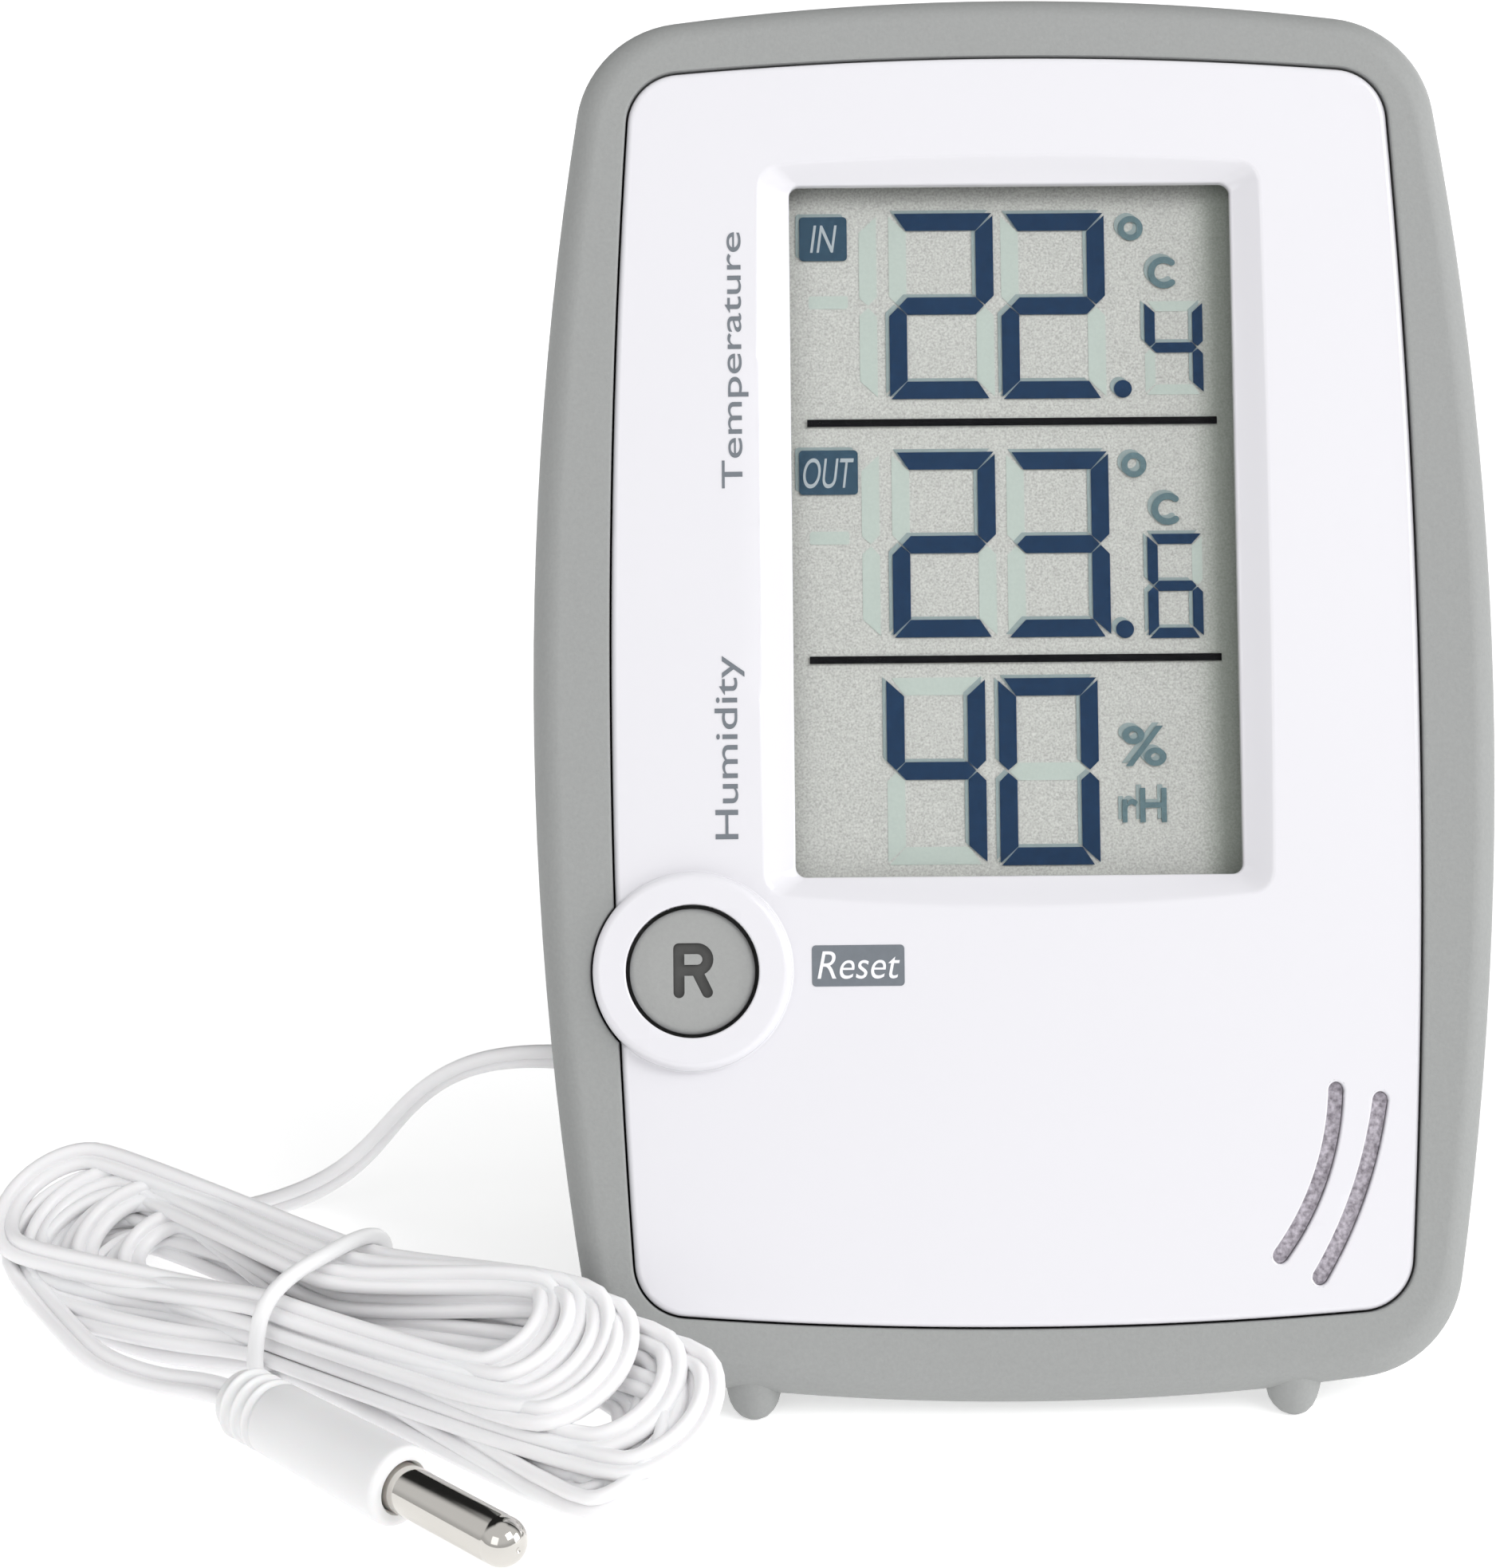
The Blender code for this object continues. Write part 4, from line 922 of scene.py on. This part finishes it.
# Each digit is (figure, left, right, bottom, top, bar width).
DIGITS = (
    ("2", -8.97, -1.0, 75.4, 89.72, BIG), ("2", -0.42, 7.48, 75.35, 89.65, BIG),
    ("4", 10.45, 14.86, 75.6, 82.8, SMALL), ("2", -8.95, -1.1, 57.15, 71.3, BIG),
    ("3", -0.25, 7.5, 57.1, 71.25, BIG), ("6", 10.35, 14.5, 56.95, 64.9, SMALL),
    ("4", -9.55, -2.1, 39.95, 54.1, BIG), ("0", -1.1, 6.4, 39.85, 54.0, BIG))
UNLIT_ONES = ((75.4, 89.7), (57.15, 71.3))
MINUS_SIGNS = ((-13.6, 82.9), (-13.7, 64.8))
POINTS = ((8.72, 76.05), (8.55, 57.65))
DEGREE_RINGS = ((9.5, 88.45), (9.45, 70.2))
CELSIUS = ((12.0, 85.0), (11.95, 66.8))
BADGES = (("IN", (-14.95, -12.9, 86.75, 88.85), (-15.76, -12.14, 86.1, 89.5)),
          ("OUT", (-15.65, -11.8, 68.6, 70.9), (-15.95, -11.5, 68.1, 71.5)))
SIGNS = (("%", (8.2, 11.5, 47.25, 50.3)), ("rH", (8.1, 11.45, 43.0, 45.6)))
RULES = (73.3, 55.2)
CAST = (-0.3, 0.26)            # the reflector lies behind the crystal, so that lit parts cast shadows aside
# Each layer is (material, height over the reflector).
LAYERS = {
    "lcd_bars": ("segment", 0.12), "lcd_signs": ("symbol", 0.12), "lcd_shadows": ("shadow", 0.04),
    "lcd_unlit_bars": ("ghost", 0.01), "lcd_badges": ("badge", 0.12),
    "lcd_badge_letters": ("badge_text", 0.15), "lcd_rules": ("rule", 0.18)}


def letters(text, box, y, shear=0.0, weight=0.0, turn=False):
    """Text in Blender's own plain font, fitted to a box (x0, x1, z0, z1) on the face."""
    data = bpy.data.curves.new("text", "FONT")
    data.body = text
    data.size = 10.0
    data.shear = shear
    data.offset = weight
    obj = link("text", data)
    mesh = evaluated_mesh(obj)
    bpy.data.objects.remove(obj)
    bpy.data.curves.remove(data)
    bm = bmesh.new()
    bm.from_mesh(mesh)
    bpy.data.meshes.remove(mesh)
    bmesh.ops.remove_doubles(bm, verts=bm.verts, dist=1e-4)
    if turn:
        for v in bm.verts:
            v.co = Vector((-v.co.y, v.co.x, 0))
    low = [min(v.co[i] for v in bm.verts) for i in (0, 1)]
    high = [max(v.co[i] for v in bm.verts) for i in (0, 1)]
    x0, x1, z0, z1 = box
    for v in bm.verts:
        u = (v.co.x - low[0]) / (high[0] - low[0])
        w = (v.co.y - low[1]) / (high[1] - low[1])
        v.co = Vector((x0 + (x1 - x0) * u, y, z0 + (z1 - z0) * w))
    made = bmesh.ops.extrude_face_region(bm, geom=bm.faces[:])
    for v in [g for g in made["geom"] if isinstance(g, bmesh.types.BMVert)]:
        v.co.y -= LAYER
    return bm


def make_display(mats):
    """Lit and unlit bars with their shadows on the reflector, badges, signs and rules."""
    front = face_box("lcd_panel")[0].y
    depth = {name: front - height for name, (_, height) in LAYERS.items()}
    parts = {name: [] for name in LAYERS}

    def add(layer, outline):
        parts[layer].append(flat(outline, depth[layer]))

    def lit(layer, outline):
        add(layer, outline)
        add("lcd_shadows", [(x + CAST[0], z + CAST[1]) for x, z in outline])

    for figure, *box in DIGITS:
        for name, outline in seven_segments(*box).items():
            if name in LIT[figure]:
                lit("lcd_bars", outline)
            else:
                add("lcd_unlit_bars", outline)
    for z0, z1 in UNLIT_ONES:
        bars = seven_segments(-19.0, -9.9, z0, z1, BIG)
        add("lcd_unlit_bars", bars["b"])
        add("lcd_unlit_bars", bars["c"])
    for x, z in MINUS_SIGNS:
        add("lcd_unlit_bars", rounded_rect(x - 1.5, x + 1.5, z - 0.5, z + 0.5, 0.2))
    for x, z in POINTS:
        lit("lcd_bars", circle(x, z, 0.68, 32))
    for x, z in DEGREE_RINGS:
        for layer, dx, dz in (("lcd_signs", 0, 0), ("lcd_shadows", *CAST)):
            y = depth[layer]
            outer, inner = (circle(x + dx, z + dz, radius, 32) for radius in (0.95, 0.5))
            parts[layer].append(loft([at_depth(outer, y), at_depth(outer, y - LAYER),
                        at_depth(inner, y - LAYER), at_depth(inner, y)], closed=True))
    for x, z in CELSIUS:
        lit("lcd_signs", stroke_outline(arc(x, z, 0.98, 52, 308, 20), 0.5))
    for text, box, badge in BADGES:
        parts["lcd_badge_letters"].append(letters(text, box, depth["lcd_badge_letters"], 0.22))
        lit("lcd_badges", rounded_rect(*badge, 0.3))
    for text, (x0, x1, z0, z1) in SIGNS:
        for layer, dx, dz in (("lcd_signs", 0, 0), ("lcd_shadows", *CAST)):
            box = (x0 + dx, x1 + dx, z0 + dz, z1 + dz)
            parts[layer].append(letters(text, box, depth[layer], weight=0.12))
    for z in RULES:
        add("lcd_rules", [(-15.3, z), (15.8, z), (15.8, z + 0.56), (-15.3, z + 0.56)])
    for name, (finish, _) in LAYERS.items():
        fit(piece(merge(parts[name]), name, mats[finish]), "instrument", "lcd_glass")


def make_printing(mats):
    """Grey printed words beside the display and the label by the key."""
    words = [letters("Temperature", (-21.8, -19.75, 68.1, 87.6), 0.0, turn=True, weight=0.02),
             letters("Humidity", (-22.5, -20.25, 41.75, 55.46), 0.0, turn=True, weight=0.02)]
    label = [flat(rounded_rect(-15.45, -8.6, 30.75, 33.8, 0.3), 0.0)]
    white = [letters("Reset", (-15.05, -8.95, 31.3, 33.35), -LAYER, 0.22, -0.03)]
    for name, parts, mat in (("printed_words", words + label, "print"),
                ("reset_label_letters", white, "print_white")):
        bm = merge(parts)
        for v in bm.verts:
            v.co.y += COVER_FRONT - 0.012 - crown(v.co.x, v.co.z)
        fit(piece(bm, name, mats[mat]), "instrument", "gloss_white")


def make_key(mats):
    """Flat key cap with a soft edge, an engraved letter, a hidden collar and a pusher."""
    centre = face_centre("reset_button")
    low, high = face_box("reset_button")
    edge = 0.45
    profile = [(3.0, low.y), (3.1, low.y), (3.6, low.y + 0.03), (4.0, low.y + 0.09)]
    profile += [(KEY_RADIUS - edge + edge * sin(turn), low.y + 0.12 + edge * (1 - cos(turn)))
                for turn in quarter_turn(5)]
    profile += [(KEY_RADIUS, 2.3), (5.6, 2.3), (5.6, 3.1), (1.5, 3.1), (1.5, high.y)]
    key = piece(turned(profile, 96, TO_BACK, (centre.x, 0, centre.z)), "reset_key_cap", mats["key"])
    bevel(key, 0.06, 2, 50)
    x, z = centre.x + 0.05, centre.z + 0.05
    stem, top, foot, middle = x - 1.05, z + 1.62, z - 1.62, z + 0.02
    bowl = arc(x + 0.3, (top + middle) / 2, (top - middle) / 2, 90, -90, 14)
    for path in ([(stem, foot), (stem, top)], [(stem, top)] + bowl + [(stem, middle)],
                 [(x + 0.25, middle), (x + 1.05, foot)]):
        groove = prism(stroke_outline(path, 0.82, 8), low.y - 1.0, low.y + 0.38)
        carve(key, "DIFFERENCE", [groove], mats["engraving"])
    keep_flat(key)
    fit(key, "reset_key", "key_grey", "reset_button")


# ---- back, bush and screws

def make_bush(mats):
    """Stepped rubber bush that guides the cord out of the wall."""
    low, high = face_box("cord_gland")
    middle = (low + high) / 2
    start, end = -high.x, -low.x
    profile = [(0.9, start), (2.8, start)] + arc(2.8, start + 0.2, 0.2, -90, 0, 3)
    profile += [(3.0, start + 0.9), (1.95, start + 1.0)]
    reach = start + 1.3
    while reach + 1.1 < end - 0.4:
        profile += [(1.88, reach), (1.88, reach + 0.55), (1.55, reach + 0.65), (1.55, reach + 0.95)]
        reach += 1.1
    profile += [(1.8, end - 0.45)] + arc(1.35, end - 0.3, 0.3, 0, 90, 4)
    profile += [(1.15, end - 0.05), (1.1, end - 0.6)]
    body = turned(profile, 48, TO_LEFT, (0, middle.y, middle.z))
    bush = piece(body, "cord_bush", mats["grey_hard"], FACE, 40)
    fit(bush, "instrument", "hard_grey", "cord_gland")


def make_lid(mats):
    """Battery lid with a ribbed thumb grip, a sunk arrow and soft edges."""
    low, high = face_box("battery_door")
    plate = block(low.x, high.x, low.z, high.z, low.y, high.y, 0.8)
    lid = piece(plate, "battery_lid_cover", mats["grey_hard"])
    grip = [block(x - 0.45, x + 0.45, high.z - 3.8, high.z - 1.2, high.y - 0.4, high.y + 1, 0.4)
            for x in (-6.0, -4.0, -2.0, 0.0, 2.0, 4.0, 6.0)]
    arrow = [(0, 65.4), (-1.6, 67.6), (1.6, 67.6)]
    carve(lid, "DIFFERENCE", grip + [prism(arrow, high.y - 0.35, high.y + 1)])
    bevel(lid, 0.15, 2, 40)
    keep_flat(lid)
    fit(lid, "battery_lid", "hard_grey", "battery_door")


def make_stand(mats):
    """Fold-out leaf with rounded edges and a sunk panel, on two trunnions, in its open place."""
    joint = next(j for j in frame["joints"] if j["name"] == "stand_fold")
    pivot = FACE_INVERSE @ Vector(joint["pos_m"])
    half_width, length, half = 10.8, 39.68, 0.8
    swing = FACE @ (Matrix.Translation(pivot) @ Matrix.Rotation(radians(STAND_OPEN), 4, "X"))
    leaf = rounded_rect(-half_width, half_width, -length - half, 0.7 + half, 0.8)
    stand = piece(prism(leaf, -half, half), "stand_leaf_plate", mats["grey_hard"], swing)
    carve(stand, "UNION", [turned([(1.5, -12.7), (1.5, 12.7)], 32, TO_RIGHT)], matrix=swing)
    panel = rounded_rect(-half_width + 2.6, half_width - 2.6, -length + 5.5, -6.0, 1.2)
    carve(stand, "DIFFERENCE", [prism(panel, half - 0.35, half + 1)], matrix=swing)
    bevel(stand, 0.35, 3, 50)
    keep_flat(stand)
    fit(stand, "stand_leaf", "hard_grey", "stand")


def make_screws(mats):
    """Pan-head screws with a cross recess."""
    for name in CASE_SCREWS + BOARD_SCREWS:
        low, high = face_box(name)
        centre = (low + high) / 2
        head, shank, seat = (2.2, 1.05, 17.6) if name in CASE_SCREWS else (1.9, 0.85, 9.7)
        profile = [(0.1, low.y), (shank * 0.5, low.y + 0.3)]
        y = low.y + 0.9
        while y < seat - 0.6:
            profile += [(shank, y), (shank * 0.8, y + 0.28)]
            y += 0.56
        profile += [(shank, seat), (head - 0.1, seat), (head, seat + 0.1)]
        profile += [(head * cos(turn * 0.94), high.y - 0.75 + 0.75 * sin(turn)) for turn in quarter_turn(6)]
        body = turned(profile, 40, TO_BACK, (centre.x, 0, centre.z))
        screw = piece(body, name + "_steel", mats["steel"], FACE, 40)
        carve(screw, "DIFFERENCE", [
            block(centre.x - w, centre.x + w, centre.z - h, centre.z + h, high.y - 0.8, high.y + 1)
            for w, h in ((head * 0.55, 0.22), (0.22, head * 0.55))])
        soften(screw, 40)
        fit(screw, "instrument", "bright_steel", name)


def dress_frame(mats):
    """Give the CAD nodes that stay their finished materials."""
    finishes = {
        "window": ("display_window",), "lcd": ("lcd_panel",), "rubber": ("contact_strip",),
        "board": ("circuit_board",), "cell": ("battery",), "holder": ("lcd_holder", "humidity_sensor"),
        "resin": ("chip_cap", "switch_plunger", "room_thermistor"),
        "steel": ("clock_crystal", "switch_body", "battery_spring", "battery_contact_positive",
                  "battery_contact_negative")}
    for finish, names in finishes.items():
        for name in names:
            for slot in nodes[name].material_slots:
                slot.material = mats[finish]
    nodes["display_window"].visible_shadow = False


# ---- stage

SKY_STRENGTH = 0.80


def make_stage():
    floor_mat = material("pale_floor", (0.84, 0.84, 0.84), 0.7, mottle=(300.0, 0.004), wear=(80.0, 0.05),
                Specular_IOR_Level=0.1, Emission_Color=(1.0, 1.0, 1.0, 1.0), Emission_Strength=0.48)
    bm = bmesh.new()
    bmesh.ops.create_grid(bm, x_segments=2, y_segments=2, size=4000.0)
    floor = piece(bm, "floor", floor_mat, ROW)
    make_sky()
    # Each lamp is (place, target, size, power).
    lamp("key", (1150, -950, 1250), (0, -10, 40), 900, 12.5)
    lamp("side", (1500, -250, 420), (0, 0, 50), 700, 8.0)
    lamp("fill", (-900, -1500, 900), (0, 0, 50), 1100, 3.5)
    lamp("back", (900, 1400, 350), (0, 0, 50), 800, 5.0)
    bpy.context.scene.view_settings.view_transform = "Standard"


def make_sky():
    """Even soft light, a little dimmer low down, with one dark screen high up behind the object."""
    world = bpy.data.worlds.new("studio")
    bpy.context.scene.world = world
    world.use_nodes = True
    tree = world.node_tree
    sky = tree.nodes["Background"]
    sky.inputs["Strength"].default_value = SKY_STRENGTH
    split = tree.nodes.new("ShaderNodeSeparateXYZ")
    tree.links.new(tree.nodes.new("ShaderNodeTexCoord").outputs["Generated"], split.inputs["Vector"])

    def along(axis, *limits):
        return ramp(tree, split.outputs[axis], *limits)

    def combine(operation, first, second):
        node = tree.nodes.new("ShaderNodeMath")
        node.operation = operation
        for socket, source in zip(node.inputs, (first, second)):
            tree.links.new(source, socket)
        return node.outputs["Value"]

    open_sky = combine("MAXIMUM", along("Y", 0.15, 0.45, 1.0, 0.03),
                combine("MAXIMUM", along("Z", 0.14, 0.24, 1.0, 0.0), along("Z", 0.80, 0.93, 0.0, 1.0)))
    tree.links.new(combine("MULTIPLY", along("Z", 0.05, 0.42, 0.72, 1.0), open_sky), sky.inputs["Color"])


def lamp(name, place, target, size, power):
    data = bpy.data.lights.new(name, "AREA")
    data.shape = "SQUARE"
    data.size = size * MM
    data.energy = power
    light = link(name, data)
    place, target = Vector(place) * MM, Vector(target) * MM
    light.location = place
    light.rotation_mode = "QUATERNION"
    light.rotation_quaternion = (target - place).to_track_quat("-Z", "Y")


make_camera()
mats = make_materials()
probe_pieces = make_probe(mats)
tie_piece = make_tie(mats)
make_cord(mats)
for make in (make_housing, make_cover, make_felt, make_feet, make_display, make_printing, make_key, make_bush,
             make_lid, make_stand, make_screws, dress_frame):
    make(mats)
make_stage()
